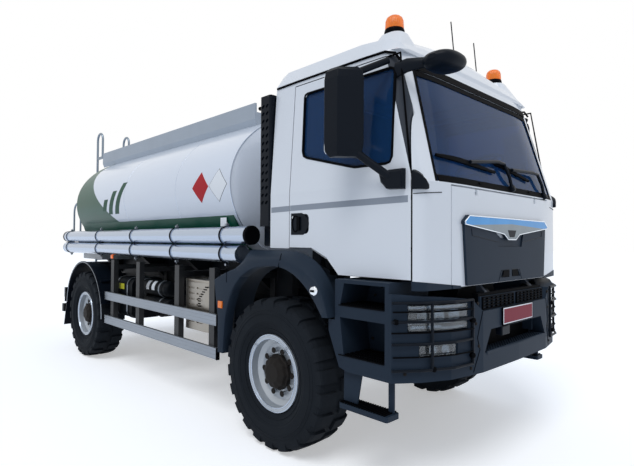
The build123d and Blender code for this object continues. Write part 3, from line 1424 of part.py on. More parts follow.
SKIRT_REAR_X = TANK_REAR_X + 40
with BuildPart() as tank_subframe:
    for hand, side in SIDES:
        with BuildSketch(Plane.YZ.offset(TANK_REAR_X - 60)):
            with Locations((side * 390, 1245)):
                Rectangle(80, 390 - 2 * SEAT)
        extrude(amount=TANK_FRONT_X + 100 - TANK_REAR_X + 60)
        # skirt along the barrel
        with BuildSketch(Plane.YZ.offset(SKIRT_REAR_X)):
            with BuildLine():
                Polyline(
                    (side * 905, 1520), (side * 925, 1520), (side * 1030, 1850), (side * 860, 1790),
                    close=True,
                )
            make_face()
        extrude(amount=4010)
    for cradle_x in CRADLE_X:
        with BuildSketch(Plane.YZ.offset(cradle_x - CRADLE_T / 2)):
            with BuildLine():
                Polyline(
                    (-430, 1100), (430, 1100), (700, 1330), (915, 1540), (1010, 1800),
                    (-1010, 1800), (-915, 1540), (-700, 1330), close=True,
                )
            make_face()
        extrude(amount=CRADLE_T)
        for hand, side in SIDES:
            # seat under each hose tube
            with BuildSketch(Plane.YZ.offset(cradle_x - CRADLE_T / 2)):
                with BuildLine():
                    Polyline(
                        (side * 880, 1500), (side * 1085, 1545), (side * 1085, 1605),
                        (side * 880, 1560), close=True,
                    )
                make_face()
            extrude(amount=CRADLE_T)
    add(tank_space.part, mode=Mode.SUBTRACT)
    with BuildSketch(Plane.XY.offset(RAIL_TOP - 10)):
        Rectangle(8000, 3000)
    extrude(amount=10 + SEAT, mode=Mode.SUBTRACT)
    for hand, side in SIDES:
        for tube_z in (TUBE_TOP_Z, TUBE_LOW_Z):
            with BuildSketch(Plane.YZ.offset(TUBE_REAR_X - 10)):
                with Locations((side * TUBE_Y, tube_z)):
                    Circle(TUBE_R + SEAT)
            extrude(amount=5000, mode=Mode.SUBTRACT)
save(tank_subframe.part, "tank_subframe")

for hand, side in SIDES:
    with BuildPart() as hose_tubes:
        for tube_z, front_x in ((TUBE_TOP_Z, TUBE_TOP_FRONT_X), (TUBE_LOW_Z, TUBE_LOW_FRONT_X)):
            with BuildSketch(Plane.YZ.offset(TUBE_REAR_X)):
                with Locations((side * TUBE_Y, tube_z)):
                    Circle(TUBE_R)
            extrude(amount=front_x - TUBE_REAR_X)
        for strap_x in STRAP_X:
            with BuildSketch(Plane.YZ.offset(strap_x - 15)):
                with Locations((side * TUBE_Y, TUBE_TOP_Z), (side * TUBE_Y, TUBE_LOW_Z)):
                    Circle(TUBE_R + 6)
                with Locations((side * TUBE_Y, (TUBE_TOP_Z + TUBE_LOW_Z) / 2)):
                    Rectangle(60, 60)
            extrude(amount=30)
    save(hose_tubes.part, f"hose_tubes_{hand}")

# Walkway on top of the tank
WALK_X = (-3210, 940)
WALK_HALF_W = 600
WALK_TOP = 3036
WALK_FLOOR = 2945
with BuildPart() as walkway:
    with BuildSketch(Plane.YZ.offset(WALK_X[0])):
        with BuildLine():
            Polyline(
                (-WALK_HALF_W, WALK_TOP), (-WALK_HALF_W, 2870), (-560, 2760), (560, 2760),
                (WALK_HALF_W, 2870), (WALK_HALF_W, WALK_TOP), close=True,
            )
        make_face()
        with BuildLine():
            Polyline(
                (-WALK_HALF_W + 24, WALK_TOP + 1), (-WALK_HALF_W + 24, WALK_FLOOR),
                (WALK_HALF_W - 24, WALK_FLOOR), (WALK_HALF_W - 24, WALK_TOP + 1), close=True,
            )
        make_face(mode=Mode.SUBTRACT)
    extrude(amount=WALK_X[1] - WALK_X[0])
    add(tank_space.part, mode=Mode.SUBTRACT)
    for lid_x in (500, -1500):
        with BuildSketch(Plane.XY.offset(WALK_FLOOR - 2)):
            with Locations((lid_x, 0)):
                Circle(240)
            with Locations((lid_x - 290, 0)):
                Rectangle(40, 60)
        extrude(amount=22)
        for hinge_y in (-55, 55):
            with BuildSketch(Plane.XZ.offset(-hinge_y - 8)):
                with Locations((lid_x - 290, 2962)):
                    Rectangle(40, 46)
                with Locations((lid_x - 290, 2985)):
                    Circle(20)
            extrude(amount=16)
        with BuildSketch(Plane.XZ.offset(-63)):
            with Locations((lid_x - 290, 2985)):
                Circle(8)
        extrude(amount=126)
save(walkway.part, "walkway")

for name, lid_x in (("front", 500), ("rear", -1500)):
    with BuildPart() as manlid:
        with BuildSketch(Plane.XY.offset(WALK_FLOOR + 20 + SEAT)):
            with Locations((lid_x, 0)):
                Circle(235)
        extrude(amount=26)
        with BuildSketch(Plane.XY.offset(WALK_FLOOR + 26)):
            with Locations((lid_x - 240, 0)):
                Rectangle(110, 70)
        extrude(amount=20)
        with BuildSketch(Plane.XZ.offset(-35)):
            with Locations((lid_x - 290, 2985)):
                Circle(18)
        extrude(amount=70)
        with BuildSketch(Plane.XZ.offset(-70)):
            with Locations((lid_x - 290, 2985)):
                Circle(8 + RUN)
        extrude(amount=140, mode=Mode.SUBTRACT)
    save(manlid.part, f"manlid_{name}")

# Rear ---------------------------------------------------------------------------------------
LADDER_Y = (-590, -150)
LADDER_X = -3470
LADDER_R = 18
HOOP_R = 111
GUARD_HOOP_X = (-3400, -3100)
GUARD_HOOP_Y = 970
GUARD_HOOP_Z = (1712, 2190)
GUARD_HOOP_R = (GUARD_HOOP_X[1] - GUARD_HOOP_X[0]) / 2
with BuildPart() as rear_ladder:
    for stile_y in LADDER_Y:
        with BuildLine() as stile:
            up = Line((LADDER_X, stile_y, 640), (LADDER_X, stile_y, 3280))
            hoop = ThreePointArc(
                up @ 1,
                (LADDER_X + HOOP_R, stile_y, 3280 + HOOP_R),
                (LADDER_X + 2 * HOOP_R, stile_y, 3280),
            )
            Line(hoop @ 1, (LADDER_X + 2 * HOOP_R, stile_y, WALK_TOP - 60))
        with BuildSketch(Plane(origin=stile.line @ 0, z_dir=(0, 0, 1))):
            Circle(LADDER_R)
        sweep(path=stile.line)
    for rung in range(8):
        with BuildSketch(Plane.XZ.offset(-LADDER_Y[1])):
            with Locations((LADDER_X, 720 + rung * 280)):
                Circle(13)
        extrude(amount=LADDER_Y[1] - LADDER_Y[0])
    # feet on the walkway and arms to the frame
    for stile_y in LADDER_Y:
        for arm_z, arm_x in ((2980, WALK_X[0] - SEAT), (900, RAIL_REAR_X - SEAT)):
            with BuildSketch(Plane.YZ.offset(LADDER_X)):
                with Locations((stile_y, arm_z)):
                    Rectangle(24, 40)
            extrude(amount=arm_x - LADDER_X)
    with BuildSketch(Plane.YZ.offset(RAIL_REAR_X - SEAT - 10)):
        with Locations((sum(LADDER_Y) / 2, 900)):
            Rectangle(LADDER_Y[1] - LADDER_Y[0], 160)
    extrude(amount=10)
    # guard hoops beside the rear head, on pipes from the last cradle
    for hand, side in SIDES:
        hoop_y = side * GUARD_HOOP_Y
        with BuildLine() as guard_hoop:
            leg = Line((GUARD_HOOP_X[0], hoop_y, GUARD_HOOP_Z[0]),
                       (GUARD_HOOP_X[0], hoop_y, GUARD_HOOP_Z[1] - GUARD_HOOP_R))
            bend = ThreePointArc(
                leg @ 1,
                (sum(GUARD_HOOP_X) / 2, hoop_y, GUARD_HOOP_Z[1]),
                (GUARD_HOOP_X[1], hoop_y, GUARD_HOOP_Z[1] - GUARD_HOOP_R),
            )
            Line(bend @ 1, (GUARD_HOOP_X[1], hoop_y, GUARD_HOOP_Z[0]))
        with BuildSketch(Plane(origin=guard_hoop.line @ 0, z_dir=(0, 0, 1))):
            Circle(14)
        sweep(path=guard_hoop.line)
        with BuildSketch(Plane.YZ.offset(GUARD_HOOP_X[0] - 20)):
            with Locations((hoop_y, GUARD_HOOP_Z[0])):
                Circle(16)
        extrude(amount=CRADLE_X[-1] - CRADLE_T / 2 - SEAT - GUARD_HOOP_X[0] + 20)
save(rear_ladder.part, "rear_ladder")

with BuildPart() as rear_bar:
    with BuildSketch(Plane.YZ.offset(-3330)):
        with Locations((0, 540)):
            Rectangle(2300, 120)
    extrude(amount=90)
    for hand, side in SIDES:
        with BuildSketch(slab(side, 360, 420)):
            with BuildLine():
                Polyline(
                    (-3300, 560), (-3240, 560), (-3060, 799.7), (-3140, 799.7), close=True,
                )
            make_face()
        extrude(amount=60)
        with BuildSketch(Plane.YZ.offset(-3300)):
            with Locations((side * 930, 780)):
                Rectangle(400, 150)
        extrude(amount=70)
        with BuildSketch(slab(side, 760, 800)):
            with BuildLine():
                Polyline((-3300, 580), (-3240, 580), (-3240, 730), (-3300, 730), close=True)
            make_face()
        extrude(amount=40)
save(rear_bar.part, "rear_bar")

with BuildPart() as rear_cabinet:
    for hand, side in SIDES:
        with BuildSketch(slab(side, 560, 1035)):
            with BuildLine():
                Polyline((-2740, 1330), (-2000, 1330), (-2000, 1405), (-2740, 1405), close=True)
            make_face()
        extrude(amount=475)
        with BuildSketch(slab(side, RAIL_OUT_Y + SEAT, 565)):
            with Locations((-2400, 1370)):
                Rectangle(500, 60)
        extrude(amount=565 - RAIL_OUT_Y - SEAT)
save(rear_cabinet.part, "rear_cabinet")

# Inside the cab ----------------------------------------------------------------------------
with BuildPart() as steering_wheel:
    with BuildSketch(column.offset(COLUMN_L + SEAT)):
        Circle(46)
        Circle(COLUMN_SHAFT_R + RUN, mode=Mode.SUBTRACT)
    extrude(amount=34)
    with BuildSketch(column.offset(COLUMN_L + 12)):
        with PolarLocations(120, 3, start_angle=30):
            Rectangle(170, 34)
        Circle(40, mode=Mode.SUBTRACT)
    extrude(amount=16)
    with Locations(column.offset(COLUMN_L + 20)):
        Torus(WHEEL_RIM_R, WHEEL_RIM_T)
save(steering_wheel.part, "steering_wheel")

SEAT_FLOOR = CAB_REAR_SILL + CAB_WALL
with BuildPart() as seats:
    for seat_y in (-560, 560):
        with BuildSketch(Plane.XZ.offset(-seat_y - 170)):
            with BuildLine():
                Polyline(
                    (2090, SEAT_FLOOR + SEAT), (2330, SEAT_FLOOR + SEAT), (2330, 1842),
                    (2090, 1842), close=True,
                )
            make_face()
        extrude(amount=340)
        with BuildSketch(Plane.XZ.offset(-seat_y - 250)):
            with BuildLine():
                Polyline(
                    (2060, 1840), (2560, 1850), (2600, 1900), (2580, 1965), (2170, 1950),
                    (2110, 2200), (2060, 2560), (1990, 2560), (1990, 2200), (2030, 1900),
                    close=True,
                )
            make_face()
        extrude(amount=500)
        with BuildSketch(Plane.XZ.offset(-seat_y - 140)):
            with BuildLine():
                Polyline(
                    (1985, 2555), (2065, 2555), (2070, 2690), (2055, 2730), (1985, 2730),
                    close=True,
                )
            make_face()
        extrude(amount=280)
save(seats.part, "seats")

# Intake, roof gear and mirrors ---------------------------------------------------------------
SNORKEL_X = 1758
SNORKEL_L = 140
with BuildPart() as intake_snorkel:
    with BuildSketch(Plane.XY.offset(1730)):
        with Locations((SNORKEL_X, -1020)):
            RectangleRounded(SNORKEL_L, 180, 20)
    extrude(amount=1090)
    # slots in the outer face, two columns
    with BuildSketch(slab(-1, 1100, 1111)):
        with Locations((SNORKEL_X, 2330)):
            with GridLocations(52, 62, 2, 14):
                SlotOverall(40, 22, rotation=35)
    extrude(amount=11, mode=Mode.SUBTRACT)
    with BuildSketch(slab(-1, RAIL_OUT_Y + 10, 1060)):
        with Locations((SNORKEL_X, 1650)):
            RectangleRounded(120, 170, 20)
    extrude(amount=1060 - RAIL_OUT_Y - 10)
    with BuildSketch(Plane.XY.offset(RAIL_TOP + SEAT)):
        with Locations((SNORKEL_X, -RAIL_OUT_Y - 20)):
            RectangleRounded(120, 110, 20)
    extrude(amount=640)
save(intake_snorkel.part, "intake_snorkel")

BEACON_R = 72
with BuildPart() as roof_beacons:
    for hand, side in SIDES:
        lamp_axis = Axis((BEACON_X, side * BEACON_Y, 0), (0, 0, 1))
        base_z = BEACON_POD_TOP + SEAT
        with BuildSketch(Plane(origin=(BEACON_X, side * BEACON_Y, base_z), x_dir=(1, 0, 0),
                               z_dir=(0, -1, 0))):
            with BuildLine():
                Polyline(
                    (0, 0), (BEACON_R, 0), (BEACON_R, 16), (BEACON_R - 8, 34),
                    (BEACON_R - 6, 40), (BEACON_R - 14, 132), (BEACON_R - 24, 148), (0, 152),
                    close=True,
                )
            make_face()
        revolve(axis=lamp_axis)
save(roof_beacons.part, "roof_beacons")

ANTENNA_X = 2780
with BuildPart() as roof_antennas:
    for antenna_y, foot_z, height in ((170, ROOF_LOW_Z + 219, 435), (570, ROOF_LOW_Z + 186, 395)):
        with BuildSketch(Plane.XY.offset(foot_z)):
            with Locations((ANTENNA_X, antenna_y)):
                Circle(24)
        extrude(amount=36, taper=20)
        mast = Plane(
            origin=(ANTENNA_X, antenna_y, foot_z + 20), x_dir=(0, 1, 0), z_dir=(-0.1, 0, 1)
        )
        with BuildSketch(mast):
            Circle(5)
        extrude(amount=height - 20)
    add(cab_roof.part, mode=Mode.SUBTRACT)
save(roof_antennas.part, "roof_antennas")

MIRROR_Y = 1400
MIRROR_SECTIONS = ((2150, 24), (2180, 6), (2240, 0), (2650, 0), (2700, 6), (2722, 24))
POD_X = (2982, 3165)
POD_T = 52
for hand, side in SIDES:
    with BuildPart() as mirror_arm:
        # housing, drawn in at its top and bottom
        for z, inset in MIRROR_SECTIONS:
            with BuildSketch(Plane.XY.offset(z)):
                with BuildLine():
                    Polyline(
                        (2735 + inset, side * (MIRROR_Y - inset)),
                        (2850 - inset, side * (MIRROR_Y - 4 - inset)),
                        (2945 - inset, side * (1250 + inset)),
                        (2900 - inset, side * (1212 + inset)),
                        (2850, side * (1215 + inset)),
                        (2725 + inset, side * (1375 - inset)),
                        close=True,
                    )
                make_face()
                fillet(vertices(), 9)
        loft(ruled=True)
        # pod on the door's belt line, thicker in its middle
        pod_y = CAB_HALF_W + SEAT
        for depth, inset in ((0, 0), (POD_T - 16, 3), (POD_T, 22)):
            with BuildSketch(Plane.XZ.offset(-side * (pod_y + depth))):
                with BuildLine():
                    Polyline(
                        (POD_X[0] + inset, 2044 - inset), (POD_X[0] + 12 + inset, 1990),
                        (POD_X[0] + 60, 1942 + inset), (POD_X[1], 1936 + inset),
                        (POD_X[1], 2066 - inset), (POD_X[0] + 80, 2066 - inset), close=True,
                    )
                make_face()
        loft(ruled=True)
        for x0, y0, z0, x1, y1, z1, arm_r in (
            (3075, 1136, 2010, 2870, 1285, 2200, 26),
            (3010, 1084, 2790, 2870, 1270, 2690, 22),
        ):
            arm = Plane(
                origin=(x0, side * y0, z0), z_dir=(x1 - x0, side * (y1 - y0), z1 - z0)
            )
            with BuildSketch(arm):
                Circle(arm_r)
            extrude(amount=sqrt((x1 - x0) ** 2 + (y1 - y0) ** 2 + (z1 - z0) ** 2))
    save(mirror_arm.part, f"mirror_{hand}")

with BuildPart() as kerb_mirror:
    for z, inset in ((2655, 0), (2735, 4), (2785, 14), (2812, 34)):
        with BuildSketch(Plane.XY.offset(z)):
            with BuildLine():
                Polyline(
                    (3195 + inset, -1052 + inset / 2), (3250 + inset, -1080 + inset),
                    (3330, -1040 + inset), (3425 - inset, -915 + inset),
                    (3448 - inset, -830), (3420 - inset, -796 - inset / 2), close=True,
                )
            make_face()
            fillet(vertices(), 14)
    loft(ruled=True)
    arm = Plane(origin=(3040, -990, 2770), z_dir=(180, -30, -10))
    with BuildSketch(arm):
        Circle(24)
    extrude(amount=200)
    add(cab_outer.part, mode=Mode.SUBTRACT)
save(kerb_mirror.part, "kerb_mirror")
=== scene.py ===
"""Looks of a two-axle road tanker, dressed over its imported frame.

Every length is in metres in the frame's own axes: X forward, Y to the left, Z up.
"""

from __future__ import annotations

import logging
import math
from dataclasses import dataclass, field
from enum import Enum
from typing import Sequence

import bmesh
import bpy
from mathutils import Matrix, Vector

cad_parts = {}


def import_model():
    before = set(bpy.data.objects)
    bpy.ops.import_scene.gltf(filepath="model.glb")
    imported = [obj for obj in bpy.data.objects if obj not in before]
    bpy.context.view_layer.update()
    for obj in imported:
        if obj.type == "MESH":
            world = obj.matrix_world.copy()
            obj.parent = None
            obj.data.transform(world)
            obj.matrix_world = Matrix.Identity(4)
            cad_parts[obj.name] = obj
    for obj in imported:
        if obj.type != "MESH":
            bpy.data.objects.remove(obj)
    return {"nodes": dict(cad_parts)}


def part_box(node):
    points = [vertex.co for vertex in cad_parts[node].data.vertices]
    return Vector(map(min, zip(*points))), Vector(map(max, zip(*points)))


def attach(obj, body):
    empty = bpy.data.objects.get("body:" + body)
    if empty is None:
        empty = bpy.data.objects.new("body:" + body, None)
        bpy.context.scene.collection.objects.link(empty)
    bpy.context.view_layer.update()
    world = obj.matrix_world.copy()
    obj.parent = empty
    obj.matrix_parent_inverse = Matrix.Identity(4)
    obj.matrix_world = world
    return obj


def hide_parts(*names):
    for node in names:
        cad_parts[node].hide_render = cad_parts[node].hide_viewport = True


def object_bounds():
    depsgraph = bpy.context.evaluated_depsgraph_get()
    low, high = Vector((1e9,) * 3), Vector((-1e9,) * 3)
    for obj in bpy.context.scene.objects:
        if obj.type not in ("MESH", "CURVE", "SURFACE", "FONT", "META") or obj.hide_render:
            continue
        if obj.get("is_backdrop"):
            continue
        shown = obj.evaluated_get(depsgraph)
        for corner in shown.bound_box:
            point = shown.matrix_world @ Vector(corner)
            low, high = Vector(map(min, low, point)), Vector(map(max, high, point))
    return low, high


LOG = logging.getLogger("tanker")
Point = tuple[float, float, float]
Flat = tuple[float, float]
Step = tuple[object, ...]
Points = Sequence[Sequence[float]]
Socket = bpy.types.NodeSocket
Tree = bpy.types.NodeTree
SIDES: tuple[tuple[str, int], ...] = (("right", -1), ("left", 1))
# Name and X of each axle.
AXLES: tuple[tuple[str, float], ...] = (("front", 2.0), ("rear", -2.1))
MM = 0.001
# A wave texture draws this many bands per metre at a scale of one.
WAVE_BANDS = 3.18
# Facets steeper than this get a rounded edge, in degrees.
EDGE_ANGLE = 35
# A direction counts as upright when it leans less than this, as a sine.
UPRIGHT = 0.1
# Points of a mesh closer than this are one point.
WELD_REACH = 1e-5


# Helpers ---------------------------------------------------------------------------------


def linear(code: str) -> tuple[float, float, float, float]:
    """Turn an sRGB hex colour into linear light.

    Args:
        code: Six hex digits after a hash.

    Returns:
        Red, green, blue and an alpha of one.
    """
    parts = [int(code[i : i + 2], 16) / 255 for i in (1, 3, 5)]
    red, green, blue = (
        p / 12.92 if p <= 0.04045 else ((p + 0.055) / 1.055) ** 2.4 for p in parts
    )
    return (red, green, blue, 1.0)


def cleared(owner: bpy.types.Material | bpy.types.World) -> Tree:
    """Give a material or a world an empty node tree.

    Args:
        owner: What gets the tree.

    Returns:
        The tree.
    """
    owner.use_nodes = True
    owner.node_tree.nodes.clear()
    return owner.node_tree


def put(
    tree: Tree, kind: str, settings: dict | None = None, links: dict | None = None
) -> bpy.types.Node:
    """Add one shader node with its settings and links.

    Args:
        tree: The node tree that gets the node.
        kind: The node's Blender type, after ShaderNode.
        settings: Values for its input sockets or, failing that, its properties.
        links: Sockets that feed its inputs, by input name or number.

    Returns:
        The new node.
    """
    node = tree.nodes.new("ShaderNode" + kind)
    for key, value in (settings or {}).items():
        if isinstance(key, int) or key in node.inputs:
            node.inputs[key].default_value = value
        else:
            setattr(node, key, value)
    for key, socket in (links or {}).items():
        tree.links.new(socket, node.inputs[key])
    return node


def summed(tree: Tree, operation: str, *terms: Socket | float) -> Socket:
    """Add one sum to a node tree.

    Args:
        tree: The node tree that gets the sum.
        operation: The sum's Blender name.
        terms: Its sockets and numbers in order.

    Returns:
        The result.
    """
    plain = {i: term for i, term in enumerate(terms) if isinstance(term, (int, float))}
    fed = {i: term for i, term in enumerate(terms) if i not in plain}
    return put(tree, "Math", {"operation": operation, **plain}, fed).outputs[0]


def reckon(tree: Tree, place: Socket, steps: Sequence[Step]) -> Socket:
    """Work out a value over the surface from a short table of sums.

    Args:
        tree: The node tree that gets the sums.
        place: The point on the surface, known in the table as x, y and z.
        steps: Rows of a new name, an operation and its terms, each a name or a number.

    Returns:
        The last row's value.
    """
    parts = put(tree, "SeparateXYZ", links={"Vector": place}).outputs
    known = {"x": parts["X"], "y": parts["Y"], "z": parts["Z"]}
    for name, operation, *terms in steps:
        known[name] = summed(tree, operation, *(known.get(term, term) for term in terms))
    return known[steps[-1][0]]


def even(start: float, end: float, count: int) -> list[float]:
    """Give evenly spaced numbers with both ends among them."""
    return [start + (end - start) * k / (count - 1) for k in range(count)]


def arc(
    count: int, step: float = 0.0, start: float = 0.0, power: Flat = (1.0, 1.0)
) -> list[Flat]:
    """Walk round a circle.

    Args:
        count: How many points.
        step: Degrees from one to the next; zero spreads them over a whole turn.
        start: Degrees of the first.
        power: Powers of cosine and sine, which make the ring squarer when under one.

    Returns:
        Cosine and sine of each point.
    """
    angles = (math.radians(start + k * (step or 360 / count)) for k in range(count))
    return [
        tuple(
            math.copysign(abs(part) ** p, part)
            for part, p in zip((math.cos(angle), math.sin(angle)), power)
        )
        for angle in angles
    ]


def both(side: int, points: Points) -> list[Point]:
    """Give points that are written for the left on either side."""
    return [(x, side * y, z) for x, y, z in points]


def square_to(along: Vector, spare: Point) -> Vector:
    """Give a unit vector square to another.

    Args:
        along: The other vector.
        spare: The guide that stands in for the vertical when along is upright.

    Returns:
        The square vector.
    """
    across = along.cross(Vector((0, 0, 1)))
    if across.length < UPRIGHT:
        across = along.cross(Vector(spare))
    return across.normalized()


# Finishes --------------------------------------------------------------------------------


class Grain(Enum):
    """How a surface was made, which sets its fine relief."""

    SPRAYED = "sprayed"
    MOULDED = "moulded"
    ROLLED = "rolled"
    BRUSHED = "brushed"
    CAST = "cast"
    RUBBER = "rubber"
    WOVEN = "woven"
    CLEAR = "clear"


@dataclass(frozen=True)
class Finish:
    """One real material and its surface.

    Args:
        name: What it is and how it was made.
        colour: sRGB hex colour.
        grain: How the surface was made.
        roughness: Microfacet roughness.
        metallic: One for bare metal.
        coat: Weight of a clear coat.
        grain_mm: Size of the relief's features.
        relief_mm: Depth of the relief.
        drift: How far the colour wanders over the piece.
        clear: Share of light let through.
        glow: Emission strength in the same colour.
        ior: Index of refraction, for what isn't metal.
        shine: Level of the mirror reflection; low for dusty or grained surfaces.
    """

    name: str
    colour: str
    grain: Grain = Grain.SPRAYED
    roughness: float = 0.4
    metallic: float = 0.0
    coat: float = 0.0
    grain_mm: float = 4.0
    relief_mm: float = 0.02
    drift: float = 0.03
    clear: float = 0.0
    glow: float = 0.0
    ior: float = 1.5
    shine: float = 0.5

    def material(self) -> bpy.types.Material:
        """Build the node material once and return it."""
        return self.zoned(self.name, self, ())

    def zoned(self, name: str, other: Finish, steps: Sequence[Step]) -> bpy.types.Material:
        """Build a material that changes to another finish over part of the surface.

        Args:
            name: The material's name.
            other: The finish where the sums give one.
            steps: The sums, as reckon takes them; none for one finish all over.

        Returns:
            The material.
        """
        found = bpy.data.materials.get(name)
        if found is not None:
            return found
        made = bpy.data.materials.new(name)
        tree = cleared(made)
        mixed = {"Roughness": "roughness", "Metallic": "metallic", "Coat Weight": "coat"}
        shell = {socket: getattr(self, part) for socket, part in mixed.items()}
        shell.update({"Coat Roughness": 0.04, "Transmission Weight": self.clear})
        if not self.metallic:
            shell.update({"IOR": self.ior, "Specular IOR Level": self.shine})
        if self.glow:
            shell.update({"Emission Color": linear(self.colour), "Emission Strength": self.glow})
        skin = put(tree, "BsdfPrincipled", shell)
        put(tree, "OutputMaterial", links={"Surface": skin.outputs["BSDF"]})
        made.diffuse_color = linear(self.colour)
        place = put(tree, "TexCoord").outputs["Object"]
        tint = self.tint(tree, place)
        if steps:
            share = reckon(tree, place, steps)
            fed = {0: share, 6: tint, 7: other.tint(tree, place)}
            tint = put(tree, "Mix", {"data_type": "RGBA"}, fed).outputs[2]
            for socket, part in mixed.items():
                here, there = getattr(self, part), getattr(other, part)
                if here != there:
                    blend = put(tree, "Mix", {2: here, 3: there}, {0: share})
                    tree.links.new(blend.outputs[0], skin.inputs[socket])
        tree.links.new(tint, skin.inputs["Base Color"])
        self._relief(tree, skin, place)
        return made

    def tint(self, tree: Tree, place: Socket) -> Socket:
        """Give the colour, with the slow drift that paint, plastic and metal have.

        Args:
            tree: The node tree that gets the nodes.
            place: The point on the surface.

        Returns:
            The colour.
        """
        base = linear(self.colour)[:3]
        noise = {"Scale": 3.1, "Detail": 4.0, "Roughness": 0.62}
        cloud = put(tree, "TexNoise", noise, {"Vector": place}).outputs["Fac"]
        low = (*(max(0.0, part * (1 - self.drift)) for part in base), 1.0)
        high = (*(min(1.0, part * (1 + self.drift)) for part in base), 1.0)
        ends = {"data_type": "RGBA", 6: low, 7: high}
        return put(tree, "Mix", ends, {0: cloud}).outputs[2]

    def _relief(self, tree: Tree, skin: bpy.types.Node, place: Socket) -> None:
        """Feed the normal with the relief that the way of making leaves.

        Args:
            tree: The node tree that gets the nodes.
            skin: The shader whose normal is fed.
            place: The point on the surface.
        """
        if self.grain is Grain.CLEAR or self.relief_mm <= 0:
            return
        size = 1 / (self.grain_mm * MM)
        lines = {Grain.BRUSHED: (1.0, 1.0, 0.04), Grain.ROLLED: (0.1, 1.0, 1.0)}
        stretch = {"Scale": lines.get(self.grain, (1.0, 1.0, 1.0))}
        fed = {"Vector": put(tree, "Mapping", stretch, {"Vector": place}).outputs["Vector"]}
        if self.grain is Grain.WOVEN:
            wave = {"Scale": size / WAVE_BANDS, "Distortion": 0.4}
            warp, weft = (
                put(tree, "TexWave", {**wave, "bands_direction": way}, fed).outputs["Fac"]
                for way in ("X", "Y")
            )
            height = summed(tree, "MULTIPLY", warp, weft)
        elif self.grain is Grain.MOULDED:
            cells = put(tree, "TexVoronoi", {"Scale": size, "feature": "F1"}, fed)
            height = cells.outputs["Distance"]
        else:
            height = put(tree, "TexNoise", {"Scale": size, "Detail": 2.0}, fed).outputs["Fac"]
        depth = {"Strength": 1.0, "Distance": self.relief_mm * MM}
        bump = put(tree, "Bump", depth, {"Height": height})
        tree.links.new(bump.outputs["Normal"], skin.inputs["Normal"])


@dataclass(frozen=True)
class Zoned:
    """Two finishes on one surface, parted by a table of sums."""

    name: str
    one: Finish
    other: Finish
    steps: Sequence[Step]

    def material(self) -> bpy.types.Material:
        """Build the node material once and return it."""
        return self.one.zoned(self.name, self.other, self.steps)


# Two-pack white lorry enamel: a glassy coat with a faint orange peel.
CAB_ENAMEL = Finish(
    "cab_enamel_sprayed", "#E1E5EA", roughness=0.3, coat=0.35, grain_mm=7, relief_mm=0.02,
    drift=0.015,
)
# Grained cab lining: a dull blue-grey, darkened as painted shade behind the glass and under the
# cab.
CAB_LINING_AND_SHADE = Finish(
    "cab_lining_painted_shade", "#18222F", Grain.MOULDED, 0.7, grain_mm=4, relief_mm=0.05, drift=0.1,
    shine=0.04,
)
# Polypropylene bumpers and arches: blue-black, with a fine moulded leather grain.
ARCH_PLASTIC = Finish(
    "polypropylene_moulded", "#232E3B", Grain.MOULDED, 0.5, grain_mm=5, relief_mm=0.08, drift=0.12,
    shine=0.1,
)
# Mirror and intake housings: the same plastic, darker and smoother.
HOUSING_PLASTIC = Finish(
    "housing_plastic_moulded", "#0B121B", Grain.MOULDED, 0.38, grain_mm=5, relief_mm=0.05,
    drift=0.08, shine=0.1,
)
# Extruded rubber seals and wiper blades: matt black lines round glass and doors.
SEAL_RUBBER = Finish("seal_rubber_extruded", "#050609", Grain.RUBBER, 0.6, drift=0.1, shine=0.03)
# Natural rubber compound: greyish black with dust in its grain.
TYRE_RUBBER = Finish(
    "tyre_rubber_moulded", "#1D2126", Grain.RUBBER, 0.78, grain_mm=6, relief_mm=0.25, drift=0.3,
    shine=0.08,
)
# Aluminium-coloured wheel paint: a satin grey with a faint sparkle.
WHEEL_SILVER = Finish(
    "wheel_silver_sprayed", "#AEB4BA", roughness=0.38, metallic=0.45, grain_mm=5, relief_mm=0.03,
    drift=0.08,
)
# Cast iron hub with road dirt: nearly black, brown where it wears.
HUB_IRON = Finish(
    "hub_iron_cast", "#1D1A18", Grain.CAST, 0.6, grain_mm=8, relief_mm=0.4, drift=0.45, shine=0.12
)
# Chassis paint over rolled steel: black and slightly rippled.
CHASSIS_PAINT = Finish(
    "chassis_paint_sprayed", "#0A0E13", Grain.CAST, 0.5, grain_mm=9, relief_mm=0.1, drift=0.2,
    shine=0.08,
)
# Drawn and polished aluminium tube: bright, with fine lines along it.
TUBE_ALUMINIUM = Finish(
    "tube_aluminium_drawn", "#AEB9C9", Grain.ROLLED, 0.22, metallic=1.0, grain_mm=3,
    relief_mm=0.012,
)
# Ladder tube: a darker blue grey than the hose tubes.
LADDER_ALUMINIUM = Finish(
    "ladder_aluminium_drawn", "#7F8B98", Grain.ROLLED, 0.35, metallic=0.9, grain_mm=4,
    relief_mm=0.03, drift=0.1,
)
# Anodised guard rail: a dull grey, striped by the extruder.
GUARD_ALUMINIUM = Finish(
    "guard_aluminium_anodised", "#8E959E", Grain.ROLLED, 0.42, metallic=0.85, grain_mm=4,
    relief_mm=0.03, drift=0.06,
)
# Rolled sheet of the walkway's fairing: soft silver grey.
SHEET_ALUMINIUM = Finish(
    "sheet_aluminium_rolled", "#9BA5B1", Grain.ROLLED, 0.5, metallic=0.55, grain_mm=4,
    relief_mm=0.03, drift=0.08,
)
# Brushed stainless sheet round the silencer: warm grey with vertical strokes, drawn coarser.
STAINLESS = Finish(
    "stainless_steel_brushed", "#9A958D", Grain.BRUSHED, 0.34, metallic=1.0, grain_mm=3,
    relief_mm=0.03, drift=0.12,
)
# Tank enamel: white, very glossy, so the sheet's long waves show.
TANK_ENAMEL = Finish(
    "tank_enamel_sprayed", "#DDE3EC", roughness=0.2, coat=0.3, grain_mm=60, relief_mm=0.25,
    drift=0.015, shine=0.25,
)
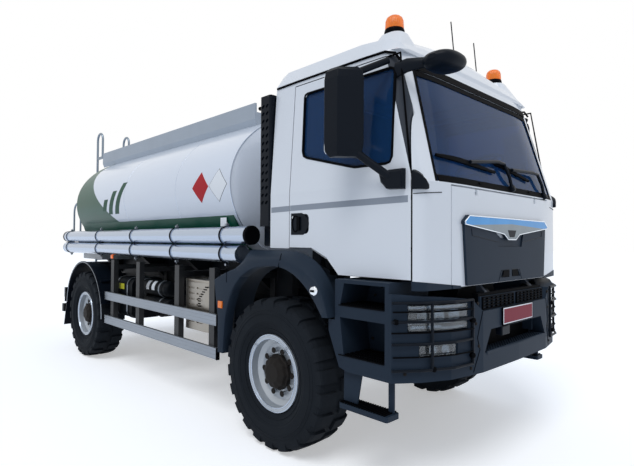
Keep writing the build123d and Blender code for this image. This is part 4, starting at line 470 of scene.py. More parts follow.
# The same enamel in dark green.
GREEN_ENAMEL = Finish(
    "green_enamel_sprayed", "#084B38", roughness=0.3, grain_mm=60, relief_mm=0.25, drift=0.15,
    shine=0.15,
)
GREY_ENAMEL = Finish("grey_enamel_sprayed", "#9CA1A5", roughness=0.4, coat=0.4)
# Cast vinyl film: flat colour with a soft shine, thin enough to show no step.
RED_VINYL = Finish("red_vinyl_film", "#B01C26", roughness=0.35, drift=0.06, shine=0.1)
WHITE_VINYL = Finish("white_vinyl_film", "#E9ECEF", roughness=0.3)
BLACK_VINYL = Finish("black_vinyl_film", "#0B0D10", roughness=0.35, shine=0.2)
GREEN_VINYL = Finish("green_vinyl_film", "#0C4733", roughness=0.35, drift=0.08, shine=0.1)
GREY_VINYL = Finish("grey_vinyl_film", "#8B939E", roughness=0.35)
YELLOW_VINYL = Finish("yellow_vinyl_film", "#CFCB3C", roughness=0.4, drift=0.08)
# Enamelled number plate: dusty red.
PLATE_ENAMEL = Finish("plate_enamel_pressed", "#853440", roughness=0.5, drift=0.06, shine=0.1)
# Chromium plate over smooth plastic: a near mirror. Its blue copy paints the sky's reflection where
# it leans up, and its grey copy paints the ground's reflection below.
CHROME = Finish("chromium_plated", "#DDE3EA", Grain.CLEAR, 0.07, metallic=1.0)
CHROME_PAINTED_SKY = Finish("chrome_painted_sky_reflection", "#4F8FCB", Grain.CLEAR, 0.1, metallic=1.0, drift=0.2)
CHROME_PAINTED_GROUND = Finish("chrome_painted_ground_reflection", "#7C8790", Grain.CLEAR, 0.12, metallic=1.0, drift=0.3)
# Aluminised lamp reflector under the lens.
REFLECTOR = Finish("reflector_aluminised", "#79828C", Grain.CLEAR, 0.25, metallic=1.0, drift=0.3)
MIRROR_GLASS = Finish("mirror_glass_silvered", "#D5DCE2", Grain.CLEAR, 0.03, metallic=1.0)
# Float glass whose blue colour, in the share of light not let through, is a painted sky reflection:
# dark over the unlit cab.
CAB_GLASS_PAINTED_SKY = Finish(
    "glass_painted_sky_reflection", "#2F5C8F", Grain.CLEAR, 0.02, clear=0.68, drift=0.0, ior=1.2,
    shine=0.12,
)
LENS = Finish("lamp_lens_moulded", "#DCE3E8", Grain.CLEAR, 0.03, clear=0.95, drift=0.0, ior=1.49)
# Amber and red acrylic lenses: saturated, with light held inside.
AMBER = Finish(
    "amber_acrylic_moulded", "#F07A12", Grain.MOULDED, 0.2, clear=0.3, grain_mm=9, relief_mm=0.2,
    glow=0.2,
)
RED_LENS = Finish("red_acrylic_moulded", "#A3141B", Grain.MOULDED, 0.25, grain_mm=9, glow=0.05)
# Flat-woven seat cloth: threads of about 1 mm, drawn at 4 mm so that they show.
SEAT_CLOTH = Finish(
    "seat_cloth_woven", "#2E333C", Grain.WOVEN, 0.9, grain_mm=4, relief_mm=0.4, drift=0.15
)


# Meshes ----------------------------------------------------------------------------------


@dataclass
class Shape:
    """A mesh in the making, built from rings of points."""

    mesh: bmesh.types.BMesh = field(default_factory=bmesh.new)

    def loft(self, rings: Sequence[Points], loop: bool = False) -> Shape:
        """Skin closed rings of equal count with quads.

        Args:
            rings: The rings in order.
            loop: Whether the last ring joins the first, in place of filled ends.

        Returns:
            This shape.
        """
        rows = [[self.mesh.verts.new(point) for point in ring] for ring in rings]
        count = len(rows[0])
        for low, high in zip(rows, rows[1:] + rows[:1] if loop else rows[1:]):
            for i in range(count):
                j = (i + 1) % count
                self.mesh.faces.new((low[i], low[j], high[j], high[i]))
        if not loop:
            self.mesh.faces.new(rows[0])
            self.mesh.faces.new(rows[-1])
        return self

    def prism(self, outline: Points, depth: Sequence[float]) -> Shape:
        """Push a flat outline along a vector."""
        return self.loft([outline, [Vector(point) + Vector(depth) for point in outline]])

    def block(self, low: Point, high: Point) -> Shape:
        """Add a box between two corners.

        Args:
            low: The corner with the least X and Z.
            high: The opposite corner.

        Returns:
            This shape.
        """
        (x0, y0, z0), (x1, y1, z1) = low, high
        outline = ((x0, y0, z0), (x1, y0, z0), (x1, y1, z0), (x0, y1, z0))
        return self.prism(outline, (0, 0, z1 - z0))

    def tube(
        self, path: Points, radius: float, sides: int = 10, loop: bool = False,
        turn: float = 0.0,
    ) -> Shape:
        """Sweep a round or many-sided bar along a path.

        Args:
            path: Points along the bar's middle.
            radius: The bar's radius.
            sides: Facets round it; four make a square bar.
            loop: Whether the bar closes on itself.
            turn: Angle of the first facet in degrees.

        Returns:
            This shape.
        """
        spots = [Vector(point) for point in path]
        last = len(spots) - 1
        rings, across = [], None
        for i, spot in enumerate(spots):
            before = spots[i - 1] if loop or i else spot
            after = spots[(i + 1) % len(spots)] if loop or i < last else spot
            along = (after - before).normalized()
            if across is None:
                across = square_to(along, (0, 1, 0))
            across = (across - along * across.dot(along)).normalized()
            upward = along.cross(across)
            rings.append(
                [spot + (across * c + upward * s) * radius for c, s in arc(sides, start=turn)]
            )
        return self.loft(rings, loop)

    def lathe(
        self, profile: Sequence[Flat], middle: Point, axis: Sequence[float],
        sides: int = 48, loop: bool = False, lobes: int = 0, depth: float = 0.0,
    ) -> Shape:
        """Turn a profile round an axis.

        Args:
            profile: Pairs of distance along the axis and radius.
            middle: Where the axis starts.
            axis: The axis's direction.
            sides: Facets round it.
            loop: Whether the profile closes on itself, as for a ring.
            lobes: Scallops round each ring.
            depth: How deep they are, as a share of the radius.

        Returns:
            This shape.
        """
        along = Vector(axis).normalized()
        across = square_to(along, (1, 0, 0))
        upward = along.cross(across)
        spokes = [
            (across * c + upward * s) * (1 + depth * math.cos(math.tau * lobes * k / sides))
            for k, (c, s) in enumerate(arc(sides))
        ]
        return self.loft(
            [[Vector(middle) + along * reach + spoke * radius for spoke in spokes]
             for reach, radius in profile],
            loop,
        )

    def ring(
        self, middle: Point, axis: Sequence[float], radius: float, thick: float, sides: int = 64
    ) -> Shape:
        """Add a round bead, like an O-ring."""
        profile = [(thick * s, radius + thick * c) for c, s in arc(8)]
        return self.lathe(profile, middle, axis, sides, loop=True)

    def upright(self, side: int, x: Flat, z: Flat, y: float, thick: float) -> Shape:
        """Add an upright plate that faces one side.

        Args:
            side: Which side of the vehicle.
            x: Its rear and front edge.
            z: Its lower and upper edge.
            y: Where its inner face lies.
            thick: Its thickness.

        Returns:
            This shape.
        """
        corners = ((x[0], y, z[0]), (x[1], y, z[0]), (x[1], y, z[1]), (x[0], y, z[1]))
        return self.prism(both(side, corners), (0, side * thick, 0))

    def level(self, side: int, x: Flat, y: Flat, z: float, thick: float) -> Shape:
        """Add a level plate on one side, pushed up or down from a height."""
        return self.block((x[0], side * y[0], z), (x[1], side * y[1], z + thick))

    def strip(self, rows: Sequence[Point], lift: float, side: int = 1) -> Shape:
        """Add a thin strip across the cab's front.

        Args:
            rows: Place across, lower edge and upper edge of each section.
            lift: How far its face stands off the cab.
            side: Which side of the cab.

        Returns:
            This shape.
        """
        sunk = -0.006
        return self.loft(
            [
                over_cab(((y, z0, sunk), (y, z0, lift), (y, z1, lift), (y, z1, sunk)), side)
                for y, z0, z1 in rows
            ]
        )

    def piece(
        self, name: str, finish: Finish | Zoned, bevel_mm: float = 0.0, body: str = "chassis",
        slot: str = "trim_plastic", smooth: float = 35.0, stands_for: str = "",
    ) -> bpy.types.Object:
        """Turn the shape into a piece of the vehicle.

        Args:
            name: The piece's name.
            finish: What it is made of.
            bevel_mm: Width of its rounded edges.
            body: The body that it moves with.
            slot: The record's material slot that it belongs to; not used.
            smooth: Steepest angle in degrees that is shaded as a curve.
            stands_for: The frame's node that it replaces, if any.

        Returns:
            The piece.
        """
        bmesh.ops.remove_doubles(self.mesh, verts=self.mesh.verts, dist=WELD_REACH)
        bmesh.ops.recalc_face_normals(self.mesh, faces=self.mesh.faces)
        data = bpy.data.meshes.new(name)
        self.mesh.to_mesh(data)
        self.mesh.free()
        data.shade_smooth()
        data.set_sharp_from_angle(angle=math.radians(smooth))
        data.materials.append(finish.material())
        made = bpy.data.objects.new(name, data)
        bpy.context.scene.collection.objects.link(made)
        if bevel_mm:
            rounded(made, bevel_mm, 2, EDGE_ANGLE)
        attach(made, body)
        if stands_for:
            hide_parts(stands_for)
        LOG.info("%s on %s", name, body)
        return made


def rounded(made: bpy.types.Object, width_mm: float, segments: int, angle: float) -> None:
    """Round an object's edges.

    Args:
        made: The object.
        width_mm: Width of the rounding.
        segments: Facets over the rounding.
        angle: Least angle in degrees of an edge that is rounded.
    """
    bevel = made.modifiers.new("rounding", "BEVEL")
    bevel.width, bevel.segments = width_mm * MM, segments
    bevel.limit_method, bevel.angle_limit = "ANGLE", math.radians(angle)


@dataclass(frozen=True)
class CabForm:
    """Outer surface of the cab: a leaning front, bowed at its sides, and leaning flanks."""

    front_x: float = 3.312
    brow_z: float = 1.985
    lean: float = 0.2886
    flat_y: float = 0.56
    bow_r: float = 2.7775
    flank_y: float = 1.11
    flank_lean: float = 0.0667
    corner_r: float = 0.09

    def flank(self, z: float) -> float:
        """Half width of the cab at a height."""
        return self.flank_y - self.flank_lean * max(0.0, z - self.brow_z)

    def front(self, y: float, z: float) -> float:
        """Find the surface's front.

        Args:
            y: The place across.
            z: The height.

        Returns:
            How far forward the surface lies there.
        """
        middle = self.front_x - self.lean * max(0.0, z - self.brow_z)
        turn_y = self.flank(z) - self.corner_r
        off = max(0.0, min(abs(y), turn_y) - self.flat_y)
        x = middle - (self.bow_r - math.sqrt(self.bow_r**2 - off**2))
        over = max(0.0, min(abs(y) - turn_y, self.corner_r))
        return x - (self.corner_r - math.sqrt(self.corner_r**2 - over**2))


CAB = CabForm()


def over_cab(points: Points, side: int = 1) -> list[Point]:
    """Lay points over the cab's front, given by place across, height and lift."""
    return [(CAB.front(y, z) + lift, side * y, z) for y, z, lift in points]


def on_flank(side: int, points: Sequence[Flat], lift: float = 0.0) -> list[Point]:
    """Lay points given by X and Z on the cab's flank."""
    return [(x, side * (CAB.flank(z) + lift), z) for x, z in points]


@dataclass
class Sided:
    """Something that is built once on each side of the vehicle."""

    hand: str
    side: int


@dataclass(frozen=True)
class Ellipse:
    """The tank barrel's cross-section."""

    half_w: float = 1.11
    half_h: float = 0.78
    centre_z: float = 2.14

    def skin(self, x: float, z: float, side: int, lift: float) -> Point:
        """Find a point on the barrel.

        Args:
            x: Its place along the barrel.
            z: Its height before it is lifted.
            side: Which side of the barrel.
            lift: How far it stands off the barrel.

        Returns:
            The point.
        """
        up = (z - self.centre_z) / self.half_h
        wide = math.sqrt(max(0.0, 1 - up * up))
        slope = math.atan2(up / self.half_h, wide / self.half_w)
        y = self.half_w * wide + lift * math.cos(slope)
        return (x, side * y, z + lift * math.sin(slope))


BARREL = Ellipse()


# Running gear ----------------------------------------------------------------------------


@dataclass
class WheelDress:
    """Hub cover, nut washers, rim lips and sidewall ribs of one wheel."""

    spot: str
    side: int
    axle_x: float
    wheel_y: float = 1.066
    axle_z: float = 0.585
    hub: tuple[Flat, ...] = (
        (0.064, 0.120), (0.066, 0.134), (0.098, 0.136), (0.106, 0.126), (0.130, 0.116),
        (0.141, 0.092), (0.152, 0.070), (0.153, 0.0),
    )
    washer: tuple[Flat, ...] = ((0.0870, 0.0235), (0.0905, 0.0235), (0.0915, 0.0))
    nut_r: float = 0.168
    lips: tuple[Flat, ...] = ((0.1455, 0.293), (0.1450, 0.264))
    ribs: tuple[Flat, ...] = (
        (0.157, 0.342), (0.1745, 0.384), (0.1835, 0.462), (0.1785, 0.486), (0.1655, 0.536),
    )

    def _at(self, ahead: float, out: float, up: float = 0.0) -> Point:
        """A point ahead of the wheel's middle, out from it and above it."""
        return (self.axle_x + ahead, self.side * (self.wheel_y + out), self.axle_z + up)

    def build(self) -> None:
        """Make the wheel's pieces."""
        out, body, paint = (0, self.side, 0), f"wheel_{self.spot}", "wheel_silver"
        Shape().lathe(self.hub, self._at(0, 0), out, 80, lobes=10, depth=0.035).piece(
            f"hub_cover_{self.spot}", HUB_IRON, 2.0, body, paint, 25
        )
        washers = Shape()
        for c, s in arc(10):
            washers.lathe(self.washer, self._at(self.nut_r * c, 0, self.nut_r * s), out, 16)
        washers.piece(f"nut_washers_{self.spot}", HUB_IRON, 0, body, paint)
        for name, finish, slot, thick, rows in (
            ("rim_lips", TUBE_ALUMINIUM, paint, 0.005, self.lips),
            ("sidewall_ribs", TYRE_RUBBER, "tyre_rubber", 0.0045, self.ribs),
        ):
            beads = Shape()
            for reach, radius in rows:
                beads.ring(self._at(0, reach), out, radius, thick, 96)
            beads.piece(f"{name}_{self.spot}", finish, 0, body, slot)
        stem = Shape().tube((self._at(0.236, 0.08), self._at(0.226, 0.125)), 0.005)
        for angle in (0.9, 2.4):
            x, z = 0.279 * math.cos(angle), 0.279 * math.sin(angle)
            stem.block(self._at(x - 0.022, 0.146, z - 0.006), self._at(x + 0.022, 0.151, z + 0.006))
        stem.piece(f"valve_and_weights_{self.spot}", GUARD_ALUMINIUM, 1.5, body, paint)


# Cab -------------------------------------------------------------------------------------


@dataclass
class CabSide(Sided):
    """Seals, stripe, handle, mirror foot and edges of one flank of the cab."""

    top_shut: tuple[Flat, ...] = ((3.200, 1.378), (3.200, 1.985), (3.074, 2.834), (2.074, 2.836))
    stripe: tuple[Flat, ...] = ((1.850, 1.838), (2.072, 1.842), (2.082, 1.843), (3.182, 1.854))
    stripe_h: float = 0.043
    window: tuple[Flat, ...] = (
        (2.190, 2.72), (2.200, 2.30), (2.214, 2.262), (2.25, 2.243), (2.70, 2.127), (2.74, 2.118),
        (3.00, 2.114), (3.036, 2.122), (3.052, 2.155), (3.046, 2.70), (3.036, 2.736),
        (3.010, 2.748), (2.22, 2.750), (2.196, 2.742),
    )
    recess: tuple[Flat, ...] = (
        (2.096, 1.657), (2.236, 1.657), (2.262, 1.673), (2.297, 1.733), (2.297, 1.750),
        (2.247, 1.811), (2.215, 1.824), (2.096, 1.824),
    )
    # Plan of the mirror pod's half on the cab: outer X and Y, then inner X and Y.
    pod: tuple[tuple[float, float, float, float], ...] = (
        (3.2100, 1.1190, 3.2100, 1.0980), (3.2300, 1.1220, 3.2250, 1.0900),
        (3.2520, 1.1160, 3.2400, 1.0780), (3.2740, 1.0960, 3.2540, 1.0600),
        (3.2880, 1.0680, 3.2600, 1.0450), (3.2920, 1.0400, 3.2640, 1.0330),
    )
    rail: tuple[Flat, ...] = (
        (1.850, 2.868), (2.10, 2.872), (2.80, 2.872), (2.96, 2.868), (3.020, 2.852),
        (3.055, 2.800),
    )

    def build(self) -> None:
        """Make the trim on the shell and the door."""
        self._door()
        self._corner()
        self._edges()

    def _door(self) -> None:
        """Window seal, shut-line seal, stripe and handle of the door."""
        hand, side, door = self.hand, self.side, f"door_{self.hand}"
        for name, line, lift, radius, sides, loop, body in (
            ("window_seal", self.window, -0.003, 0.010, 8, True, door),
            ("door_seal", self.top_shut, -0.012, 0.008, 6, False, "cab"),
        ):
            Shape().tube(on_flank(side, line, lift), radius, sides, loop).piece(
                f"{name}_{hand}", SEAL_RUBBER, 0, body
            )
        for part, body in ((self.stripe[:2], "cab"), (self.stripe[2:], door)):
            face = (*part, *((x, z + self.stripe_h) for x, z in reversed(part)))
            Shape().prism(on_flank(side, face, -0.001), (0, side * 0.0018, 0)).piece(
                f"flank_stripe_{body}_{hand}", GREY_VINYL, 0, body, "cab_white"
            )
        Shape().prism(on_flank(side, self.recess, -0.003), (0, side * 0.007, 0)).piece(
            f"handle_recess_{hand}", HOUSING_PLASTIC, 3.0, door
        )
        lever = [(2.150 + 0.034 * c, 1.742 + 0.062 * s) for c, s in arc(20)]
        Shape().tube(on_flank(side, lever, 0.006), 0.005, 8, True).block(
            (2.172, side * 1.112, 1.690), (2.205, side * 1.126, 1.795)
        ).piece(f"handle_lever_{hand}", SEAL_RUBBER, 3.0, door)
        Shape().ring((2.118, side * 1.1145, 1.792), (0, side, 0), 0.007, 0.0025, 20).piece(
            f"handle_lock_{hand}", CHROME, 0, door
        )

    def _corner(self) -> None:
        """The cab's half of the mirror pod, and the belt seam in front of the door."""
        hand, side, rings = self.hand, self.side, []
        for k, (xo, yo, xi, yi) in enumerate(self.pod):
            top = 2.058 - 0.0035 * k * k
            section = ((xi, yi, 1.930), (xo, yo, 1.934), (xo, yo, top - 0.012), (xi, yi, top))
            rings.append(both(side, section))
        Shape().loft(rings).piece(f"mirror_pod_corner_{hand}", HOUSING_PLASTIC, 5.0, "cab")
        seam = [(1.104 - 0.0135 * k, 1.905 + 0.0012 * k, 0.0005) for k in range(16)]
        Shape().tube(over_cab(seam, side), 0.0028, 6).piece(
            f"belt_seam_{hand}", SEAL_RUBBER, 0, "cab"
        )

    def _edges(self) -> None:
        """Dark lower edge on corner and flap, rubber apron under the sill, drip rail above."""
        hand, side = self.hand, self.side
        for body, y0, y1, lift in (
            ("cab", 0.803, 1.106, 0.004), ("front_flap", 0.704, 0.799, 0.008),
        ):
            rows = [(y, 1.308, 1.324 + 0.105 * (y - 0.70)) for y in even(y0, y1, 17)]
            Shape().strip(rows, lift, side).piece(
                f"lower_edge_{body}_{hand}", ARCH_PLASTIC, 1.0, body
            )
        Shape().block((2.380, side * 0.930, 1.3560), (3.180, side * 0.965, 1.405)).piece(
            f"sill_apron_{hand}", SEAL_RUBBER, 2.0, "cab"
        )
        path = [
            (x, side * (CAB.flank(z) + 0.003 - (x > 2.97) * (0.018 + (x - 2.97) * 0.22)), z)
            for x, z in self.rail
        ]
        Shape().tube(path, 0.009, 8).piece(f"drip_rail_{hand}", SEAL_RUBBER, 0, "cab")


@dataclass
class CabFront:
    """Strip above the windscreen, border printed round its edge, and washer jets."""

    visor_half: float = 0.90
    visor_z: Flat = (2.768, 2.822)
    screen_z: Flat = (1.992, 2.764)
    # Half the screen's width at its foot and at its top.
    screen_half: Flat = (0.960, 0.893)
    # Half width and height of the border's bands at the foot and at the top.
    foot: Flat = (0.925, 0.045)
    top: Flat = (0.8695, 0.040)
    jet_y: float = 0.42

    def build(self) -> None:
        """Make the trim across the front."""
        Shape().strip(
            [(y, *self.visor_z) for y in even(-self.visor_half, self.visor_half, 25)], 0.007
        ).piece("visor_strip", SEAL_RUBBER, 2.0, "cab")
        border, (low, high), sunk, lift = Shape(), self.screen_z, -0.006, 0.0015
        for side in (-1, 1):
            rings = []
            for z, edge in zip(even(low, high, 9), even(*self.screen_half, 9)):
                y0, y1 = edge - 0.022, edge - 0.001
                section = ((y0, z, sunk), (y1, z, sunk), (y1, z, lift), (y0, z, lift))
                rings.append(over_cab(section, side))
            border.loft(rings)
        (foot, foot_h), (top, top_h) = self.foot, self.top
        for half, z0, z1 in ((foot, low, low + foot_h), (top, high - top_h, high)):
            border.strip([(y, z0, z1) for y in even(-half, half, 21)], lift)
        border.piece("windscreen_border", SEAL_RUBBER, 0, "cab")
        jets = Shape()
        for y in (-self.jet_y, self.jet_y):
            x = CAB.front(y, 2.02)
            jets.block((x - 0.004, y - 0.02, 2.012), (x + 0.010, y + 0.02, 2.026))
        jets.piece("washer_jets", SEAL_RUBBER, 2.0, "cab")


@dataclass
class Wipers:
    """Two wipers parked low on the windscreen."""

    pivots: tuple[Flat, ...] = ((0.088, 2.022), (0.727, 2.004))
    elbow: Flat = (-0.083, 0.185)
    blades: tuple[tuple[Flat, Flat], ...] = (
        ((-0.905, 2.166), (-0.150, 2.128)), ((-0.162, 2.208), (0.455, 2.118)),
    )
    cap: tuple[Flat, ...] = ((-0.01, 0.026), (0.022, 0.026), (0.030, 0.018), (0.032, 0.0))

    def build(self) -> None:
        """Make an arm and a blade at each pivot."""
        for number, ((py, pz), (tip, heel)) in enumerate(zip(self.pivots, self.blades)):
            ey, ez = py + self.elbow[0], pz + self.elbow[1]
            path = over_cab(
                (
                    (py, pz, 0.008), ((py + ey) / 2, (pz + ez) / 2, 0.030), (ey, ez, 0.034),
                    (ey - 0.10, ez + 0.006, 0.034),
                    ((tip[0] + heel[0]) / 2, (tip[1] + heel[1]) / 2 + 0.014, 0.026),
                )
            )
            foot = over_cab(((py, pz, 0.0),))[0]
            Shape().tube(path, 0.014, 6).lathe(self.cap, foot, (0.96, 0, 0.28), 20).piece(
                f"wiper_arm_{number}", HOUSING_PLASTIC, 1.5, "cab"
            )
            rings = []
            for share in even(0.0, 1.0, 13):
                y, z = (a + (b - a) * share for a, b in zip(tip, heel))
                top = z + 0.010 + 0.014 * math.sin(math.pi * min(1.0, share * 1.15))
                section = (
                    (y, z - 0.012, 0.004), (y, z - 0.008, 0.018), (y, top, 0.020), (y, top, 0.006),
                )
                rings.append(over_cab(section))
            Shape().loft(rings).piece(f"wiper_blade_{number}", SEAL_RUBBER, 1.0, "cab")


# The lower part of the chrome strip gets the painted ground reflection, and the rest gets the
# painted sky reflection.
GROUND_REFLECTION_STEPS: tuple[Step, ...] = (
    ("wide", "ABSOLUTE", "y"),
    ("fall", "MULTIPLY", "wide", 0.035),
    ("line", "SUBTRACT", 1.722, "fall"),
    ("more", "ADD", "line", 0.024),
    ("low", "LESS_THAN", "z", "more"),
)


@dataclass
class Grille:
    """Chrome strip, vents and fold lines of the lifting front panel."""

    face_x: float = 3.338
    fold_x: float = 3.3345
    half: tuple[Flat, ...] = (
        (0.0, 1.785), (0.640, 1.785), (0.697, 1.746), (0.692, 1.727), (0.188, 1.676),
        (0.132, 1.669), (0.064, 1.630), (0.0, 1.630),
    )
    centre: tuple[Flat, ...] = ((0.0, 1.700), (0.072, 1.700), (0.040, 1.648), (0.0, 1.648))
    vent: tuple[Flat, ...] = ((0.026, 1.356), (0.026, 1.402), (0.120, 1.402), (0.136, 1.356))
    folds: tuple[tuple[Flat, ...], ...] = (
        ((0.60, 1.700), (0.59, 1.655), (0.20, 1.610)),
        ((0.20, 1.324), (0.155, 1.405), (0.02, 1.408)),
    )

    def _face(self, y: float, lift: float) -> float:
        """How far forward the chrome strip lies; its ends are drawn back."""
        return self.face_x + lift - 0.0035 * (abs(y) > 0.63)

    def build(self) -> None:
        """Make the pieces that lift with the front flap."""
        flap = "front_flap"
        outline, plate = (
            (*half, *((-y, z) for y, z in reversed(half[1:-1])))
            for half in (self.half, self.centre)
        )
        rings = [
            [
                (
                    self._face(y, depth),
                    y - math.copysign(shrink, y) * (abs(y) > 0.05),
                    z - math.copysign(shrink, z - 1.74),
                )
                for y, z in outline
            ]
            for depth, shrink in ((-0.003, 0.0), (0.004, 0.0), (0.0085, 0.006))
        ]
        # The strip's colour is painted reflection: blue sky above, grey ground below.
        painted_reflections = Zoned("chrome_strip_painted_reflections", CHROME_PAINTED_SKY, CHROME_PAINTED_GROUND, GROUND_REFLECTION_STEPS)
        Shape().loft(rings).piece("grille_chrome", painted_reflections, 0, flap, smooth=20)
        edge = [(self._face(y, 0.0075), y, z) for y, z in outline]
        Shape().tube(edge, 0.0045, 8, True).piece("grille_chrome_edge", CHROME, 0, flap)
        Shape().prism([(self.face_x + 0.0065, y, z) for y, z in plate], (0.0035, 0, 0)).piece(
            "grille_centre_plate", HOUSING_PLASTIC, 1.5, flap
        )
        dark, lines = Shape(), Shape()
        for side in (-1, 1):
            dark.prism([(3.3335, side * y, z) for y, z in self.vent], (0.0035, 0, 0))
            for fold in self.folds:
                lines.tube([(self.fold_x, side * y, z) for y, z in fold], 0.0022, 6)
        dark.piece("grille_vents", SEAL_RUBBER, 0, flap)
        lines.piece("grille_folds", HOUSING_PLASTIC, 0, flap)


@dataclass
class RoofGear:
    """Beacons on their pods and the antennas' feet."""

    beacon_x: float = 2.834
    beacon_y: float = 0.78
    foot_z: float = 3.088
    dome: tuple[Flat, ...] = (
        (0.048, 0.066), (0.054, 0.0665), (0.110, 0.0640), (0.132, 0.056), (0.146, 0.040),
        (0.152, 0.018), (0.153, 0.0),
    )
    foot: tuple[Flat, ...] = (
        (0.0, 0.074), (0.012, 0.076), (0.040, 0.072), (0.051, 0.0675), (0.051, 0.0),
    )
    core: tuple[Flat, ...] = ((0.03, 0.022), (0.10, 0.022), (0.115, 0.012))
    boot: tuple[Flat, ...] = ((-0.004, 0.030), (0.012, 0.026), (0.030, 0.012), (0.034, 0.0))
    antennas: tuple[Point, ...] = ((2.780, 0.170, 3.092), (2.780, 0.570, 3.092))

    def build(self) -> None:
        """Make the beacons and the feet."""
        domes, feet, cores, boots = Shape(), Shape(), Shape(), Shape()
        up = (0, 0, 1)
        for _, side in SIDES:
            middle = (self.beacon_x, side * self.beacon_y, self.foot_z)
            domes.lathe(self.dome, middle, up, 144, lobes=36, depth=0.016)
            feet.lathe(self.foot, middle, up, 40)
            cores.lathe(self.core, middle, up, 20)
        for middle in self.antennas:
            boots.lathe(self.boot, middle, up, 20)
        domes.piece("beacon_domes", AMBER, 0, "cab", "beacon_amber", 50, "roof_beacons")
        feet.piece("beacon_feet", SEAL_RUBBER, 1.5, "cab")
        cores.piece("beacon_reflectors", REFLECTOR, 0, "cab", "lamp_lens")
        boots.piece("antenna_boots", SEAL_RUBBER, 0, "cab")


@dataclass
class Mirrors:
    """Glasses of the door mirrors and the pod of the kerb mirror."""

    back_x: float = 2.7255
    wide: Flat = (1.232, 1.384)
    heights: tuple[Flat, ...] = ((2.330, 2.695), (2.176, 2.306))
    pod_half: Flat = (0.119, 0.056)
    # X, Y, Z, half width and half height along the kerb mirror's arm.
    arm: tuple[tuple[float, float, float, float, float], ...] = (
        (3.042, -1.045, 2.725, 0.020, 0.052), (3.120, -1.030, 2.742, 0.022, 0.046),
        (3.200, -1.000, 2.745, 0.024, 0.036), (3.280, -0.960, 2.742, 0.026, 0.030),
    )

    def build(self) -> None:
        """Make the glass on each housing and the kerb mirror's pod."""
        y0, y1 = self.wide
        for hand, side in SIDES:
            glass = Shape()
            for z0, z1 in self.heights:
                outline = (
                    (y0 + 0.015, z0), (y1 - 0.015, z0), (y1, z0 + 0.02), (y1, z1 - 0.02),
                    (y1 - 0.015, z1), (y0 + 0.015, z1), (y0, z1 - 0.02), (y0, z0 + 0.02),
                )
                glass.prism([(self.back_x, side * y, z) for y, z in outline], (-0.004, 0, 0))
            glass.piece(
                f"mirror_glasses_{hand}", MIRROR_GLASS, 1.0, f"door_{hand}", "pane_glass"
            )
        self._kerb()

    def _kerb(self) -> None:
        """The rounded pod over the windscreen and its arm, in place of the plain ones."""
        rings = []
        for share, _ in arc(25, 7.5):
            grow = max(0.06, (1 - abs(share) ** 2.6)) ** 0.5
            wide, tall = (half * grow for half in self.pod_half)
            rings.append(
                [
                    (3.325 + wide * c, -0.925 - 0.150 * share, 2.735 + tall * s)
                    for c, s in arc(32, power=(0.8, 0.9))
                ]
            )
        arm = [
            [(x, y + wide * c, z + tall * s) for c, s in arc(16)]
            for x, y, z, wide, tall in self.arm
        ]
        Shape().loft(rings).loft(arm).piece(
            "kerb_mirror_pod", HOUSING_PLASTIC, 0, "cab", smooth=50, stands_for="kerb_mirror"
        )


# Front -----------------------------------------------------------------------------------


@dataclass(frozen=True)
class Nose:
    """Plan line of the bumper's front."""

    line: tuple[Flat, ...] = (
        (0.0, 3.396), (0.54, 3.386), (0.85, 3.330), (1.05, 3.236), (1.20, 3.125), (1.26, 3.075),
    )

    def x(self, y: float) -> float:
        """Find how far forward the bumper reaches.

        Args:
            y: The place across.

        Returns:
            The front's X there.
        """
        wide = min(abs(y), self.line[-1][0])
        for (y0, x0), (y1, x1) in zip(self.line, self.line[1:]):
            if wide <= y1:
                return x0 + (x1 - x0) * (wide - y0) / (y1 - y0)
        return self.line[-1][1]


NOSE = Nose()


